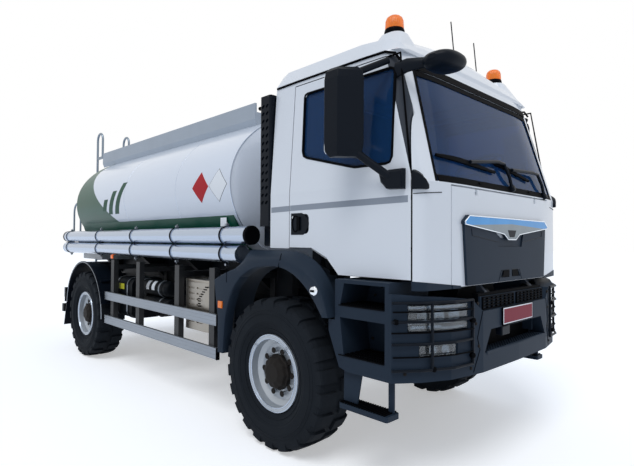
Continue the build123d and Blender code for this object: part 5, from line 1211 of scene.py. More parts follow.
@dataclass
class BumperDress:
    """Plate, mesh, step back, covers, bolts and seams of the bumper."""

    plate_y: Flat = (-0.278, 0.222)
    plate_z: Flat = (1.034, 1.148)
    plate_x: float = 3.4015
    # Name, finish, lower corner, upper corner and rounding of each plain block.
    blocks: tuple[tuple[str, Finish, Point, Point, float], ...] = (
        ("tow_cover", HOUSING_PLASTIC, (3.350, -0.290, 0.958), (3.402, -0.168, 1.022), 6.0),
        ("mesh_backing", SEAL_RUBBER, (3.300, -0.535, 1.150), (3.346, 0.535, 1.262), 2.0),
        ("step_hollow_back", SEAL_RUBBER, (3.226, -0.560, 0.850), (3.240, 0.560, 1.060), 2.0),
    )
    # Heights of the mesh's bars, and how far across they reach.
    mesh_z: tuple[float, ...] = (1.158, 1.178, 1.198, 1.218, 1.236)
    mesh_y: Flat = (0.505, 0.030)
    stud: tuple[Flat, ...] = ((0.0, 0.0065), (0.003, 0.006), (0.005, 0.0))
    bolt: tuple[Flat, ...] = ((-0.003, 0.012), (0.003, 0.011), (0.006, 0.006), (0.0065, 0.0))
    bolts: tuple[Flat, ...] = (
        (0.595, 1.205), (0.585, 0.925), (0.615, 1.075), (0.665, 0.790), (1.130, 0.800),
    )
    seam: tuple[Flat, ...] = (
        (0.545, 1.152), (0.575, 1.060), (0.600, 0.980), (0.575, 0.900), (0.640, 0.760),
    )

    def build(self) -> None:
        """Make the bumper's small pieces."""
        (y0, y1), (z0, z1) = self.plate_y, self.plate_z
        for name, finish, grow, lift in (
            ("plate_holder", SEAL_RUBBER, 0.007, 0.003), ("plate_edge", WHITE_VINYL, 0.0, 0.0045),
            ("plate_face", PLATE_ENAMEL, -0.007, 0.0055),
        ):
            low = (self.plate_x - 0.006, y0 - grow, z0 - grow)
            high = (self.plate_x + lift, y1 + grow, z1 + grow)
            Shape().block(low, high).piece(name, finish, 1.5)
        for name, finish, low, high, bevel in self.blocks:
            Shape().block(low, high).piece(name, finish, bevel)
        for hand, side in SIDES:
            grid, (y0, y1) = Shape(), (side * y for y in self.mesh_y)
            for z in self.mesh_z:
                grid.block((3.358, y0, z - 0.0032), (3.372, y1, z + 0.0032))
            for y in even(y0, y1, 8):
                grid.block((3.357, y - 0.005, 1.155), (3.371, y + 0.005, 1.239))
            grid.piece(f"air_mesh_{hand}", SEAL_RUBBER, 1.0)
        tread, bolts, seams = Shape(), Shape(), Shape()
        for x in even(3.306, 3.369, 4):
            for y in even(-0.44, 0.434, 24):
                tread.lathe(self.stud, (x, y, 0.8755), (0, 0, 1), 8)
        for side in (-1, 1):
            for y, z in self.bolts:
                way = (1, 0.35 * side * (y > 0.6), 0)
                bolts.lathe(self.bolt, (NOSE.x(y), side * y, z), way, 12)
            seams.tube([(NOSE.x(y) + 0.0006, side * y, z) for y, z in self.seam], 0.0028, 6)
        tread.piece("towing_tread_studs", SEAL_RUBBER)
        bolts.piece("bumper_bolts", HUB_IRON)
        seams.piece("bumper_seams", SEAL_RUBBER)


@dataclass
class Headlamp(Sided):
    """Lens, reflectors, fog lamp and extra guard bars of one front corner."""

    lamp_y: Flat = (0.700, 1.108)
    lamp_z: Flat = (1.058, 1.216)
    fog_y: Flat = (0.800, 1.050)
    fog_z: Flat = (0.903, 0.967)
    # Place across, height and radius of the head lamp's bowls.
    bowls: tuple[Point, ...] = (
        (0.790, 1.145, 0.046), (0.905, 1.145, 0.046), (1.015, 1.148, 0.040),
    )
    bulb: tuple[Flat, ...] = ((0.0, 0.012), (0.024, 0.012), (0.030, 0.007), (0.031, 0.0))
    # Reach across, height and depth of the front of each bright strip.
    strips: tuple[tuple[Flat, Flat, float], ...] = (
        ((0.710, 1.098), (1.194, 1.209), 0.024), ((0.710, 0.900), (1.061, 1.077), 0.018),
        ((0.900, 1.088), (1.070, 1.090), 0.018), ((0.704, 1.104), (1.1005, 1.1045), 0.020),
    )
    fog_bowl: tuple[Flat, ...] = (
        (-0.004, 0.0), (0.004, 0.014), (0.024, 0.029), (0.026, 0.031), (0.020, 0.031),
    )
    fog_bowls: Flat = (0.86, 0.94)
    clamp: tuple[Flat, ...] = ((-0.014, 0.017), (0.008, 0.017), (0.014, 0.010), (0.015, 0.0))
    clamps: tuple[Flat, ...] = ((0.672, 1.105), (0.676, 0.880), (0.985, 0.826), (1.190, 1.120))
    # Height and reach across of the extra bars.
    bars: tuple[Point, ...] = ((0.905, 0.668, 1.205), (1.052, 0.664, 1.212), (1.180, 0.668, 1.205))

    def _band(
        self, shape: Shape, y: Flat, z: Flat, back: float, front: float, sections: int = 13
    ) -> Shape:
        """Add a band that follows the nose between two depths behind it.

        Args:
            shape: The shape that gets it.
            y: Its inner and outer end.
            z: Its lower and upper edge.
            back: Depth of its back.
            front: Depth of its front.
            sections: How many sections it has.

        Returns:
            The shape.
        """
        rings = []
        for wide in even(*y, sections):
            x0, x1 = NOSE.x(wide) - back, NOSE.x(wide) - front
            rings.append(
                both(self.side, ((x0, wide, z[0]), (x1, wide, z[0]), (x1, wide, z[1]),
                                 (x0, wide, z[1])))
            )
        return shape.loft(rings)

    def build(self) -> None:
        """Make the lamp from back to front."""
        hand, side, slot = self.hand, self.side, "lamp_lens"
        (y0, y1), (z0, z1) = self.lamp_y, self.lamp_z
        around = (y0 - 0.006, y1 + 0.004), (z0 - 0.005, z1 + 0.005)
        self._band(Shape(), *around, 0.085, 0.060).piece(
            f"lamp_housing_{hand}", HOUSING_PLASTIC, 2.0, slot=slot
        )
        bowls, fog, strips, bars = Shape(), Shape(), Shape(), Shape()
        for y, z, r in self.bowls:
            middle = (NOSE.x(y) - 0.058, side * y, z)
            bowl = ((-0.004, 0.0), (0.004, r * 0.45), (0.030, r * 0.94), (0.033, r), (0.027, r))
            for profile, facets in ((bowl, 32), (self.bulb, 16)):
                bowls.lathe(profile, middle, (1, 0.25 * side, 0), facets)
        bowls.piece(f"lamp_reflectors_{hand}", REFLECTOR, slot=slot, smooth=50)
        for across, high, front in self.strips:
            self._band(strips, across, high, 0.058, front)
        strips.piece(f"lamp_strips_{hand}", REFLECTOR, 1.0, slot=slot)
        self._band(Shape(), (y0 - 0.004, y1 + 0.002), (z0, z1), 0.010, 0.004).piece(
            f"lamp_lens_{hand}", LENS, 1.0, slot=slot, stands_for=f"headlamp_{hand}"
        )
        for name, finish, bevel, depths in (
            ("fog_housing", HOUSING_PLASTIC, 2.0, (0.070, 0.050)),
            ("fog_lens", LENS, 1.0, (0.013, 0.008)),
        ):
            self._band(Shape(), self.fog_y, self.fog_z, *depths, 7).piece(
                f"{name}_{hand}", finish, bevel, slot=slot
            )
        for y in self.fog_bowls:
            middle = (NOSE.x(y) - 0.052, side * y, 0.935)
            fog.lathe(self.fog_bowl, middle, (1, 0.35 * side, 0), 28)
        fog.piece(f"fog_reflectors_{hand}", REFLECTOR, slot=slot, smooth=50)
        for z, y0, y1 in self.bars:
            path = [(NOSE.x(y) + 0.020, side * y, z) for y in even(y0, y1, 13)]
            bars.tube(path, 0.0055, 8)
        for y, z in self.clamps:
            bars.lathe(self.clamp, (NOSE.x(y) + 0.022, side * y, z), (1, 0.4 * side, 0), 16)
        bars.piece(f"guard_bars_{hand}", SEAL_RUBBER)


@dataclass
class Steps(Sided):
    """Treads, hook, bolts and hanger panel of one entry step."""

    floors: tuple[float, ...] = (1.178, 0.846)
    hanger: tuple[Point, ...] = (
        (2.706, 1.150, 0.765), (2.868, 1.150, 0.765), (2.836, 1.165, 0.535), (2.716, 1.165, 0.535),
    )
    bolts: tuple[Flat, ...] = ((2.78, 1.235), (2.84, 1.300), (2.76, 0.930), (3.02, 0.930))
    bolt: tuple[Flat, ...] = ((0.0, 0.011), (0.006, 0.010), (0.008, 0.0))

    def build(self) -> None:
        """Make the pieces of the step box and the lowest step."""
        side, tread = self.side, Shape()
        bars = even(0.0, 18 * 0.0198, 19)
        for z in self.floors:
            tread.level(side, (2.690, 3.070), (0.935, 1.205), z, 0.006)
            for x in bars:
                for y in (0.96, 1.01, 1.06, 1.11, 1.16):
                    tread.level(side, (2.700 + x, 2.710 + x), (y, y + 0.03), z, 0.014)
        for x in bars:
            tread.level(side, (2.722 + x, 2.732 + x), (1.094, 1.218), 0.538, 0.010)
        tread.piece(f"step_treads_{self.hand}", SEAL_RUBBER)
        Shape().prism(both(side, self.hanger), (0, side * 0.012, 0)).piece(
            f"step_hanger_{self.hand}", ARCH_PLASTIC, 3.0
        )
        hook = Shape().ring((2.985, side * 0.930, 1.262), (0.3, side, 0), 0.026, 0.007, 24)
        for x, z in self.bolts:
            hook.lathe(self.bolt, (x, side * 0.922, z), (0, side, 0), 12)
        hook.piece(f"step_hook_{self.hand}", HUB_IRON)


def flowing(points: Sequence[Flat], steps: int, straight: int = 0) -> list[Flat]:
    """Run a smooth curve through points.

    Args:
        points: The points that it passes through.
        steps: Divisions of each stretch.
        straight: How many stretches at the start stay straight.

    Returns:
        The curve's points.
    """
    line = []
    last = len(points) - 1
    for k in range(last):
        before = points[max(k - 1, straight if k >= straight else 0)]
        start, end, after = points[k], points[k + 1], points[min(k + 2, last)]
        for t in (j / steps for j in range(steps)):
            line.append(
                tuple(
                    b + (c - b) * t if k < straight else 0.5 * (
                        2 * b + (c - a) * t + (2 * a - 5 * b + 4 * c - d) * t * t
                        + (3 * b - a - 3 * c + d) * t ** 3
                    )
                    for a, b, c, d in zip(before, start, end, after)
                )
            )
    return [*line, tuple(points[-1])]


@dataclass
class Arches(Sided):
    """Skin, seams, lamps and markers of one front fender, and one rear mudguard with a bead of
    painted highlight.
    """

    guard_middle: Flat = (-2.130, 0.610)
    guard_r: float = 0.690
    # Outer edge X and Z, then inner edge X and Z, of the fender from its rear foot forward.
    rows: tuple[tuple[float, float, float, float], ...] = (
        (1.284, 0.634, 1.370, 0.634), (1.277, 0.940, 1.400, 0.940), (1.196, 1.263, 1.490, 1.170),
        (1.443, 1.375, 1.600, 1.290), (1.490, 1.385, 1.640, 1.318), (1.600, 1.534, 1.755, 1.373),
        (1.850, 1.535, 1.920, 1.405), (2.140, 1.535, 2.104, 1.409), (2.330, 1.492, 2.260, 1.366),
        (2.470, 1.402, 2.387, 1.290), (2.572, 1.262, 2.490, 1.190), (2.638, 1.090, 2.572, 1.085),
    )
    tub: tuple[Flat, ...] = (
        (1.284, 0.642), (1.296, 0.950), (1.430, 1.245), (1.700, 1.388), (2.100, 1.428),
        (2.400, 1.312), (2.562, 1.132),
    )
    seams: tuple[tuple[float, tuple[Point, ...]], ...] = (
        (0.0032, ((2.105, 1.2505, 1.292), (2.112, 1.2505, 1.420), (2.135, 1.240, 1.515))),
        (0.0028, ((1.420, 1.2505, 1.250), (1.420, 1.2505, 1.420))),
    )
    lamp: tuple[Flat, ...] = ((-0.006, 0.034), (0.010, 0.034), (0.020, 0.026), (0.022, 0.0))
    # X, Y, Z and height of the amber markers.
    markers: tuple[tuple[float, float, float, float], ...] = (
        (1.333, 1.247, 1.052, 0.060), (-1.333, 1.150, 1.392, 0.045),
    )

    def _fender(self) -> None:
        """The front fender's smooth moulded skin and liner, in place of the plain one."""
        outer = flowing([row[:2] for row in self.rows], 6, 5)
        inner = flowing([row[2:] for row in self.rows], 6)
        rings = []
        for (ox, oz), (ix, iz) in zip(outer, inner):
            rise = min(1.0, max(0.0, (oz - 1.28) / 0.24))
            share = 0.06 + 0.50 * rise * rise * (3 - 2 * rise)
            section = (
                (0.0, 1.128), (share * 0.45, 1.196), (share * 0.85, 1.238), (share + 0.05, 1.250),
                (0.90, 1.250), (0.97, 1.246), (1.0, 1.236), (1.0, 1.160), (0.75, 1.128),
            )
            points = [(ox + (ix - ox) * part, y, oz + (iz - oz) * part) for part, y in section]
            rings.append(both(self.side, points))
        line, tub = flowing(self.tub, 6), []
        for (x, z), (ax, az), (bx, bz) in zip(line, line[:1] + line[:-1], line[1:] + line[-1:]):
            share = 0.012 / math.hypot(bx - ax, bz - az)
            out = (x - (bz - az) * share, z + (bx - ax) * share)
            section = ((x, 0.885, z), (x, 1.170, z), (out[0], 1.170, out[1]),
                       (out[0], 0.885, out[1]))
            tub.append(both(self.side, section))
        bar = both(self.side, ((1.262, 0.432, 0.880), (1.290, 1.150, 0.880)))
        Shape().loft(rings).loft(tub).tube(bar, 0.020, 12).piece(
            f"fender_skin_{self.hand}", ARCH_PLASTIC, smooth=38,
            stands_for=f"front_fender_{self.hand}",
        )

    def build(self) -> None:
        """Make the skin and the small pieces of both arches."""
        side, hand = self.side, self.hand
        self._fender()
        seam, marks = Shape(), Shape()
        for radius, path in self.seams:
            seam.tube(both(side, path), radius, 6)
        seam.piece(f"fender_seam_{hand}", SEAL_RUBBER)
        Shape().lathe(self.lamp, (2.498, side * 1.246, 1.262), (0.2, side, 0.1), 28).piece(
            f"fender_lamp_{hand}", CHROME, 1.5, slot="lamp_lens"
        )
        Shape().upright(side, (2.480, 2.514), (1.254, 1.270), 1.262, 0.010).piece(
            f"fender_lamp_slot_{hand}", SEAL_RUBBER, 2.0, slot="lamp_lens"
        )
        for x, y, z, tall in self.markers:
            marks.upright(side, (x - 0.030, x + 0.030), (z - tall / 2, z + tall / 2), y, 0.014)
        marks.piece(f"side_markers_{hand}", AMBER, 3.0, slot="beacon_amber")
        # A bright aluminium bead along the rear mudguard's edge: a painted highlight on the arch's
        # rim.
        (x, z), r = self.guard_middle, self.guard_r - 0.004
        bead = [(x + r * c, side * 1.2405, z + r * s) for c, s in arc(33, 5.5, -2)]
        Shape().tube(bead, 0.006, 8).piece(f"mudguard_painted_highlight_{hand}", GUARD_ALUMINIUM)


# Tank ------------------------------------------------------------------------------------


@dataclass
class TankDress:
    """Diamonds, motif, seams, label and bright rim of the tank."""

    seams: tuple[Flat, ...] = ((1.250, 0.0035), (0.227, 0.0016), (-1.100, 0.0016))
    diamonds: tuple[Flat, ...] = ((0.735, 2.132), (1.048, 2.132))
    half: Flat = (0.154, 0.156)
    # Number of the diamond, name, finish, growth and lift of each film.
    films: tuple[tuple[int, str, Finish, float, float], ...] = (
        (0, "red", WHITE_VINYL, 1.02, 0.0010), (0, "red_face", RED_VINYL, 0.975, 0.0018),
        (1, "white_edge", BLACK_VINYL, 1.0, 0.0010), (1, "white", WHITE_VINYL, 0.965, 0.0018),
    )
    # X, lower edge and upper edge of the motif's bars.
    bars: tuple[Point, ...] = ((-1.86, 2.00, 2.15), (-1.65, 1.95, 2.25), (-1.44, 1.95, 2.34))

    def _patch(self, shape: Shape, side: int, rows: Sequence[Point], lift: float) -> Shape:
        """Lay a thin film on the barrel.

        Args:
            shape: The shape that gets it.
            side: Which side of the tank.
            rows: Height, rear X and front X of each row.
            lift: How far its face stands off the barrel.

        Returns:
            The shape.
        """
        return shape.loft(
            [
                [
                    BARREL.skin(x, z, side, off)
                    for x, off in ((x0, lift), (x1, lift), (x1, -0.001), (x0, -0.001))
                ]
                for z, x0, x1 in rows
            ]
        )

    def build(self) -> None:
        """Make the tank's markings on both sides."""
        for hand, side in SIDES:
            for number, name, finish, grow, lift in self.films:
                x, z = self.diamonds[number]
                rows = []
                for up in even(-1.0, 1.0, 17):
                    wide = self.half[0] * grow * (1 - abs(up)) + 0.0008
                    rows.append((z + self.half[1] * grow * up, x - wide, x + wide))
                self._patch(Shape(), side, rows, lift).piece(
                    f"diamond_{name}_{hand}", finish, slot="tank_white"
                )
            motif = Shape()
            for x, z0, z1 in self.bars:
                backs = ((z, x + 0.62 * (z - 1.96)) for z in even(z0, z1, 9))
                self._patch(motif, side, [(z, back, back + 0.125) for z, back in backs], 0.0012)
            motif.piece(f"tank_motif_{hand}", GREEN_VINYL, slot="frame_green")
            Shape().upright(side, (0.985, 1.085), (1.745, 1.828), 1.031, 0.002).piece(
                f"skirt_label_{hand}", WHITE_VINYL, slot="tank_white"
            )
        rim = Shape()
        for x, thick in self.seams:
            wide, tall = BARREL.half_w + thick * 0.2, BARREL.half_h + thick * 0.2
            ring = [(x, wide * c, BARREL.centre_z + tall * s) for c, s in arc(96)]
            rim.tube(ring, thick, 6, True)
        rim.piece("barrel_seams", TUBE_ALUMINIUM, slot="tank_white")


@dataclass
class TubeDress:
    """Straps, brackets and caps of the hose tubes."""

    straps: tuple[float, ...] = (1.250, 0.330, -0.660, -1.760, -2.960)
    tube_y: float = 1.135
    tube_r: float = 0.079
    strap: tuple[Flat, ...] = (
        (-0.011, -0.002), (-0.011, 0.0085), (0.011, 0.0085), (0.011, -0.002),
    )
    # Name, finish, height, rear end, front end and profile of the caps on each tube.
    caps: tuple[tuple[str, Finish, float, float, float, tuple[Flat, ...]], ...] = (
        ("tube_caps", SEAL_RUBBER, 1.656, -3.120, 1.630, (
            (-0.030, -0.004), (-0.030, 0.003), (0.001, 0.003), (0.004, -0.006),
            (0.0015, -0.012), (0.0015, -0.079),
        )),
        ("tube_ends", TUBE_ALUMINIUM, 1.492, -3.120, 1.485, (
            (-0.022, -0.004), (-0.022, 0.002), (0.001, 0.002), (0.003, -0.079),
        )),
    )

    def _turned(self, profile: Sequence[Flat]) -> list[Flat]:
        """A profile given from the tube's skin, with its radii from the tube's middle."""
        return [(reach, self.tube_r + off) for reach, off in profile]

    def build(self) -> None:
        """Make the straps and caps on both sides."""
        slot = "guard_aluminium"
        for hand, side in SIDES:
            straps, brackets, y = Shape(), Shape(), side * self.tube_y
            for x in self.straps:
                for _, _, z, *_ in self.caps:
                    straps.lathe(self._turned(self.strap), (x, y, z), (1, 0, 0), 40, loop=True)
                for z, way in ((1.742, 1), (1.402, -1)):
                    brackets.level(side, (x - 0.012, x + 0.012), (1.120, 1.152), z, way * 0.020)
                    brackets.tube(
                        both(side, ((x, 1.136, z), (x, 1.136, z + way * 0.034))), 0.004, 8
                    )
            straps.piece(f"tube_straps_{hand}", SEAL_RUBBER, slot=slot)
            brackets.piece(f"tube_brackets_{hand}", GUARD_ALUMINIUM, 1, slot=slot)
            for name, finish, z, back, front, profile in self.caps:
                caps = Shape()
                for x, way in ((front, 1), (back, -1)):
                    caps.lathe(self._turned(profile), (x, y, z), (way, 0, 0), 48)
                caps.piece(f"{name}_{hand}", finish, 1.0, slot=slot)


# Side and rear gear ----------------------------------------------------------------------


@dataclass
class SideGear:
    """Guard-rail ribs, tank bands, labels and hoses along the frame."""

    rails: tuple[Flat, ...] = ((0.840, 0.940), (0.538, 0.640))
    rail_x: Flat = (-1.448, 1.198)
    rib_shares: tuple[float, ...] = (0.04, 0.30, 0.36, 0.64, 0.70, 0.96)
    # Y and height of the air lines and cables clipped along each frame rail.
    lines: tuple[Flat, ...] = ((0.462, 0.985), (0.474, 0.955), (0.466, 0.925))
    air_y: float = -0.960
    air_z: Flat = (0.860, 1.050)
    air_band_x: Flat = (-0.700, -0.240)
    air_band: tuple[Flat, ...] = (
        (-0.014, 0.091), (-0.014, 0.095), (0.014, 0.095), (0.014, 0.091),
    )
    air_label_x: Flat = (-0.520, -0.380)
    square_strap_x: Flat = (-1.340, -1.040)
    silencer_middle: Flat = (0.660, -0.900)
    silencer_half: Flat = (0.281, 0.202)
    fuel_strap_x: Point = (-0.720, -0.160, 0.420)
    fuel_cap: tuple[Flat, ...] = (
        (-0.02, 0.060), (0.012, 0.060), (0.022, 0.054), (0.034, 0.050), (0.036, 0.0),
    )
    # Turn in degrees that lays the square strap's face on the fuel tank.
    strap_turn: float = 44.977

    def build(self) -> None:
        """Make the pieces along both sides."""
        slot = "guard_aluminium"
        for hand, side in SIDES:
            ribs, ends, lines = Shape(), Shape(), Shape()
            for z0, z1 in self.rails:
                for share in self.rib_shares:
                    z = z0 + (z1 - z0) * share
                    ribs.upright(side, self.rail_x, (z - 0.004, z + 0.004), 1.199, 0.004)
                for x in self.rail_x:
                    high = (z0 - 0.003, z1 + 0.003)
                    ends.upright(side, (x - 0.008, x + 0.008), high, 1.170, 0.0345)
            ribs.piece(f"rail_ribs_{hand}", GUARD_ALUMINIUM, 1.0, slot=slot)
            ends.piece(f"rail_ends_{hand}", SEAL_RUBBER, 2.0, slot=slot)
            for number, (y, z) in enumerate(self.lines):
                path = []
                for x in even(-2.9, 1.7, 40):
                    sag = 0.010 * math.sin(7.3 * x + number) + 0.012 * math.sin(3.1 * x)
                    path.append((x, side * (y + 0.004 * math.cos(5 * x + number)), z + sag))
                lines.tube(path, 0.008, 6)
            lines.piece(f"frame_lines_{hand}", SEAL_RUBBER, slot="chassis_black")
        self._air_tanks()
        self._strap_tank()
        self._silencer()
        self._fuel_tank()

    def _air_tanks(self) -> None:
        """Bands and two blank labels on the air tanks."""
        bands, labels = Shape(), Shape()
        for z in self.air_z:
            for x in self.air_band_x:
                bands.lathe(self.air_band, (x, self.air_y, z), (1, 0, 0), 40, loop=True)
        bands.piece("air_tank_bands", GUARD_ALUMINIUM, slot="chassis_black")
        for x in self.air_label_x:
            section = (
                (x - 0.036, 0.0935), (x + 0.036, 0.0935), (x + 0.036, 0.091), (x - 0.036, 0.091),
            )
            labels.loft(
                [
                    [(at, self.air_y - r * c, self.air_z[1] + r * s) for at, r in section]
                    for c, s in arc(7, 12, -12)
                ]
            )
        labels.piece("air_tank_labels", WHITE_VINYL, slot="chassis_black")

    def _strap_tank(self) -> None:
        """Two bright straps and a blank yellow label on the square tank."""
        low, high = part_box("strap_tank")
        front_y, top_z, low_z, r = low.y + 0.003, high.z - 0.003, low.z + 0.003, 0.10
        path = [(-0.66, top_z)]
        for centre_z, start in ((top_z - r, 90), (low_z + r, 180)):
            path += [(front_y + r + r * c, centre_z + r * s) for c, s in arc(7, 15, start)]
        path.append((-0.66, low_z))
        straps = Shape()
        for x in self.square_strap_x:
            rings = []
            for y, z in path:
                out = Vector((0, y + 0.87, z - (top_z + low_z) / 2)).normalized() * 0.005
                oy, oz = y + out.y, z + out.z
                rings.append(
                    [(x - 0.018, y, z), (x + 0.018, y, z), (x + 0.018, oy, oz),
                     (x - 0.018, oy, oz)]
                )
            straps.loft(rings)
        straps.piece("square_tank_straps", GUARD_ALUMINIUM, slot="chassis_black")
        Shape().upright(-1, (-1.290, -1.130), (0.985, 1.055), -low.y - 0.001, 0.003).piece(
            "square_tank_label", YELLOW_VINYL, slot="chassis_black"
        )

    def _silencer(self) -> None:
        """Clamp band round the silencer's top and its slots."""
        low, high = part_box("silencer")
        (x, y), (long, wide) = self.silencer_middle, self.silencer_half
        ring = [
            (x + long * c, y + wide * s, high.z - 0.022) for c, s in arc(48, power=(0.5, 0.5))
        ]
        Shape().tube(ring, 0.008, 6, True).piece("silencer_band", STAINLESS, slot="brushed_steel")
        slots = Shape()
        for k in range(9):
            x, z = 0.700 + 0.026 * max(0, 5 - k), 1.150 - 0.024 * k
            slots.block((x, low.y - 0.0015, z), (x + 0.052, low.y + 0.006, z + 0.011))
        slots.piece("silencer_slots", SEAL_RUBBER, slot="brushed_steel")

    def _fuel_tank(self) -> None:
        """Straps and filler cap of the fuel tank on the left."""
        _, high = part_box("fuel_tank")
        straps, slot = Shape(), "guard_aluminium"
        for x in self.fuel_strap_x:
            path = [(x, 0.56, high.z - 0.042)]
            for z, tall, start in ((1.050, 0.094, 90), (0.668, 0.092, 0)):
                path += [(x, 1.012 + 0.092 * c, z + tall * s) for c, s in arc(7, -15, start)]
            straps.tube(path, 0.012, 4, turn=self.strap_turn)
        straps.piece("fuel_tank_straps", CHASSIS_PAINT, 1.0, slot=slot)
        middle = (0.280, 0.900, high.z - 0.046)
        Shape().lathe(self.fuel_cap, middle, (0, 0, 1), 36, lobes=12, depth=0.02).piece(
            "fuel_cap", SEAL_RUBBER, 1.5, slot=slot
        )


@dataclass
class RearDress:
    """Lamps and plate on the rear bar, and the hook at the walkway's end."""

    # Name, finish, inner and outer edge, lower and upper edge, depth in and out, rounding.
    lamps: tuple[tuple[str, Finish, Flat, Flat, Flat, float], ...] = (
        ("red", RED_LENS, (0.960, 1.100), (0.640, 0.745), (0.018, 0.004), 5.0),
        ("amber", AMBER, (0.870, 0.955), (0.640, 0.745), (0.018, 0.004), 5.0),
        ("clear", LENS, (0.790, 0.865), (0.640, 0.745), (0.018, 0.004), 5.0),
        ("holder", SEAL_RUBBER, (0.775, 1.115), (0.625, 0.760), (0.006, 0.004), 4.0),
    )
    plate_half: float = 0.260
    plate_z: Flat = (0.640, 0.750)
    hook: tuple[Flat, ...] = ((-0.004, 0.020), (0.012, 0.020), (0.022, 0.012), (0.024, 0.0))
    hook_at: Point = (0.9405, -0.534, 2.985)

    def build(self) -> None:
        """Make the rear pieces."""
        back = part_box("rear_bar")[0].x
        for hand, side in SIDES:
            for name, finish, (y0, y1), (z0, z1), (out, sunk), bevel in self.lamps:
                Shape().block((back - out, side * y0, z0), (back + sunk, side * y1, z1)).piece(
                    f"rear_lamp_{name}_{hand}", finish, bevel, slot="lamp_lens"
                )
        (z0, z1), half = self.plate_z, self.plate_half
        Shape().block((back - 0.006, -half, z0), (back + 0.002, half, z1)).piece(
            "rear_plate", WHITE_VINYL, 1.5
        )
        Shape().lathe(self.hook, self.hook_at, (1, 0, 0), 20).piece(
            "walkway_hook", SEAL_RUBBER, 1.0, slot="guard_aluminium"
        )


# Cab's inside ----------------------------------------------------------------------------


@dataclass
class Pad:
    """One stuffed pad of a seat, given by its box and a lean.

    Args:
        name: The pad's name.
        low: Lowest corner.
        high: Highest corner.
        lean: How far its top moves back over its height.
    """

    name: str
    low: Point
    high: Point
    lean: float = 0.0
    voxel: float = 0.016
    pressure: float = 4.0
    frames: int = 20
    # The furthest that a point of the pad may swell.
    cap: float = 0.022

    def build(self) -> None:
        (x0, y0, z0), (x1, y1, z1) = self.low, self.high
        rings = [
            [(x0 - back, y0, z), (x1 - back, y0, z), (x1 - back, y1, z), (x0 - back, y1, z)]
            for z, back in zip(even(z0, z1, 5), even(0.0, self.lean, 5))
        ]
        made = Shape().loft(rings).piece(
            self.name, SEAT_CLOTH, 0, "cab", "seat_cloth", 180, "seats"
        )
        bevel = made.modifiers.new("edge", "BEVEL")
        bevel.width, bevel.segments = 0.030, 3
        remesh = made.modifiers.new("skin", "REMESH")
        remesh.mode, remesh.voxel_size = "VOXEL", self.voxel
        self._apply(made)
        self._inflate(made)
        smooth = made.modifiers.new("fine", "SUBSURF")
        smooth.levels = smooth.render_levels = 1
        self._apply(made)
        made.data.shade_smooth()

    def _apply(self, made: bpy.types.Object) -> None:
        """Turn the modifiers' result into the pad's own mesh.

        Args:
            made: The pad.
        """
        graph = bpy.context.evaluated_depsgraph_get()
        graph.update()
        fresh = bpy.data.meshes.new_from_object(made.evaluated_get(graph))
        old = made.data
        made.modifiers.clear()
        made.data = fresh
        if not fresh.materials:
            fresh.materials.append(old.materials[0])

    def _inflate(self, made: bpy.types.Object) -> None:
        """Run the cloth with pressure and take the result, each point within its cap.

        Args:
            made: The pad.
        """
        scene = bpy.context.scene
        rest = [vertex.co.copy() for vertex in made.data.vertices]
        cloth = made.modifiers.new("stuffing", "CLOTH").settings
        cloth.use_pressure = True
        cloth.uniform_pressure_force = self.pressure
        cloth.effector_weights.gravity = 0.0
        cloth.quality = 4
        for frame_number in range(1, self.frames + 1):
            scene.frame_set(frame_number)
        graph = bpy.context.evaluated_depsgraph_get()
        moved = [vertex.co.copy() for vertex in made.evaluated_get(graph).data.vertices]
        made.modifiers.clear()
        scene.frame_set(1)
        for vertex, old, new in zip(made.data.vertices, rest, moved):
            step = new - old
            if step.length > self.cap:
                step *= self.cap / step.length
            vertex.co = old + step


@dataclass
class CabInside:
    """Two padded seats with headrests, and a dial hood before the driver."""

    seat_y: float = 0.56
    # Name, X, half width, Z and lean of each pad.
    pads: tuple[tuple[str, Flat, float, Flat, float], ...] = (
        ("cushion", (2.10, 2.565), 0.215, (1.852, 1.950), 0.0),
        ("back", (2.095, 2.175), 0.205, (1.975, 2.535), 0.045),
        ("headrest", (2.045, 2.110), 0.11, (2.585, 2.710), 0.010),
    )

    def build(self) -> None:
        """Make the seats and the hood on the dashboard."""
        base = Shape()
        for hand, side in SIDES:
            y = side * self.seat_y
            for name, (x0, x1), half, (z0, z1), lean in self.pads:
                low, high = (x0, y - half, z0), (x1, y + half, z1)
                Pad(f"seat_{name}_{hand}", low, high, lean).build()
            base.block((2.12, y - 0.17, 1.610), (2.52, y + 0.17, 1.835))
            base.block((2.06, y - 0.19, 1.835), (2.58, y + 0.19, 1.848))
            for dy in (-0.06, 0.06):
                base.tube(((2.085, y + dy, 2.52), (2.075, y + dy, 2.60)), 0.007)
        base.piece("seat_frames", CAB_LINING_AND_SHADE, 6.0, "cab", stands_for="seats")
        Shape().prism(
            ((2.955, 0.36, 1.958), (2.955, 0.72, 1.958), (2.985, 0.72, 2.040),
             (2.985, 0.36, 2.040)),
            (0.08, 0, 0.01),
        ).piece("dial_hood", CAB_LINING_AND_SHADE, 8.0, "cab")
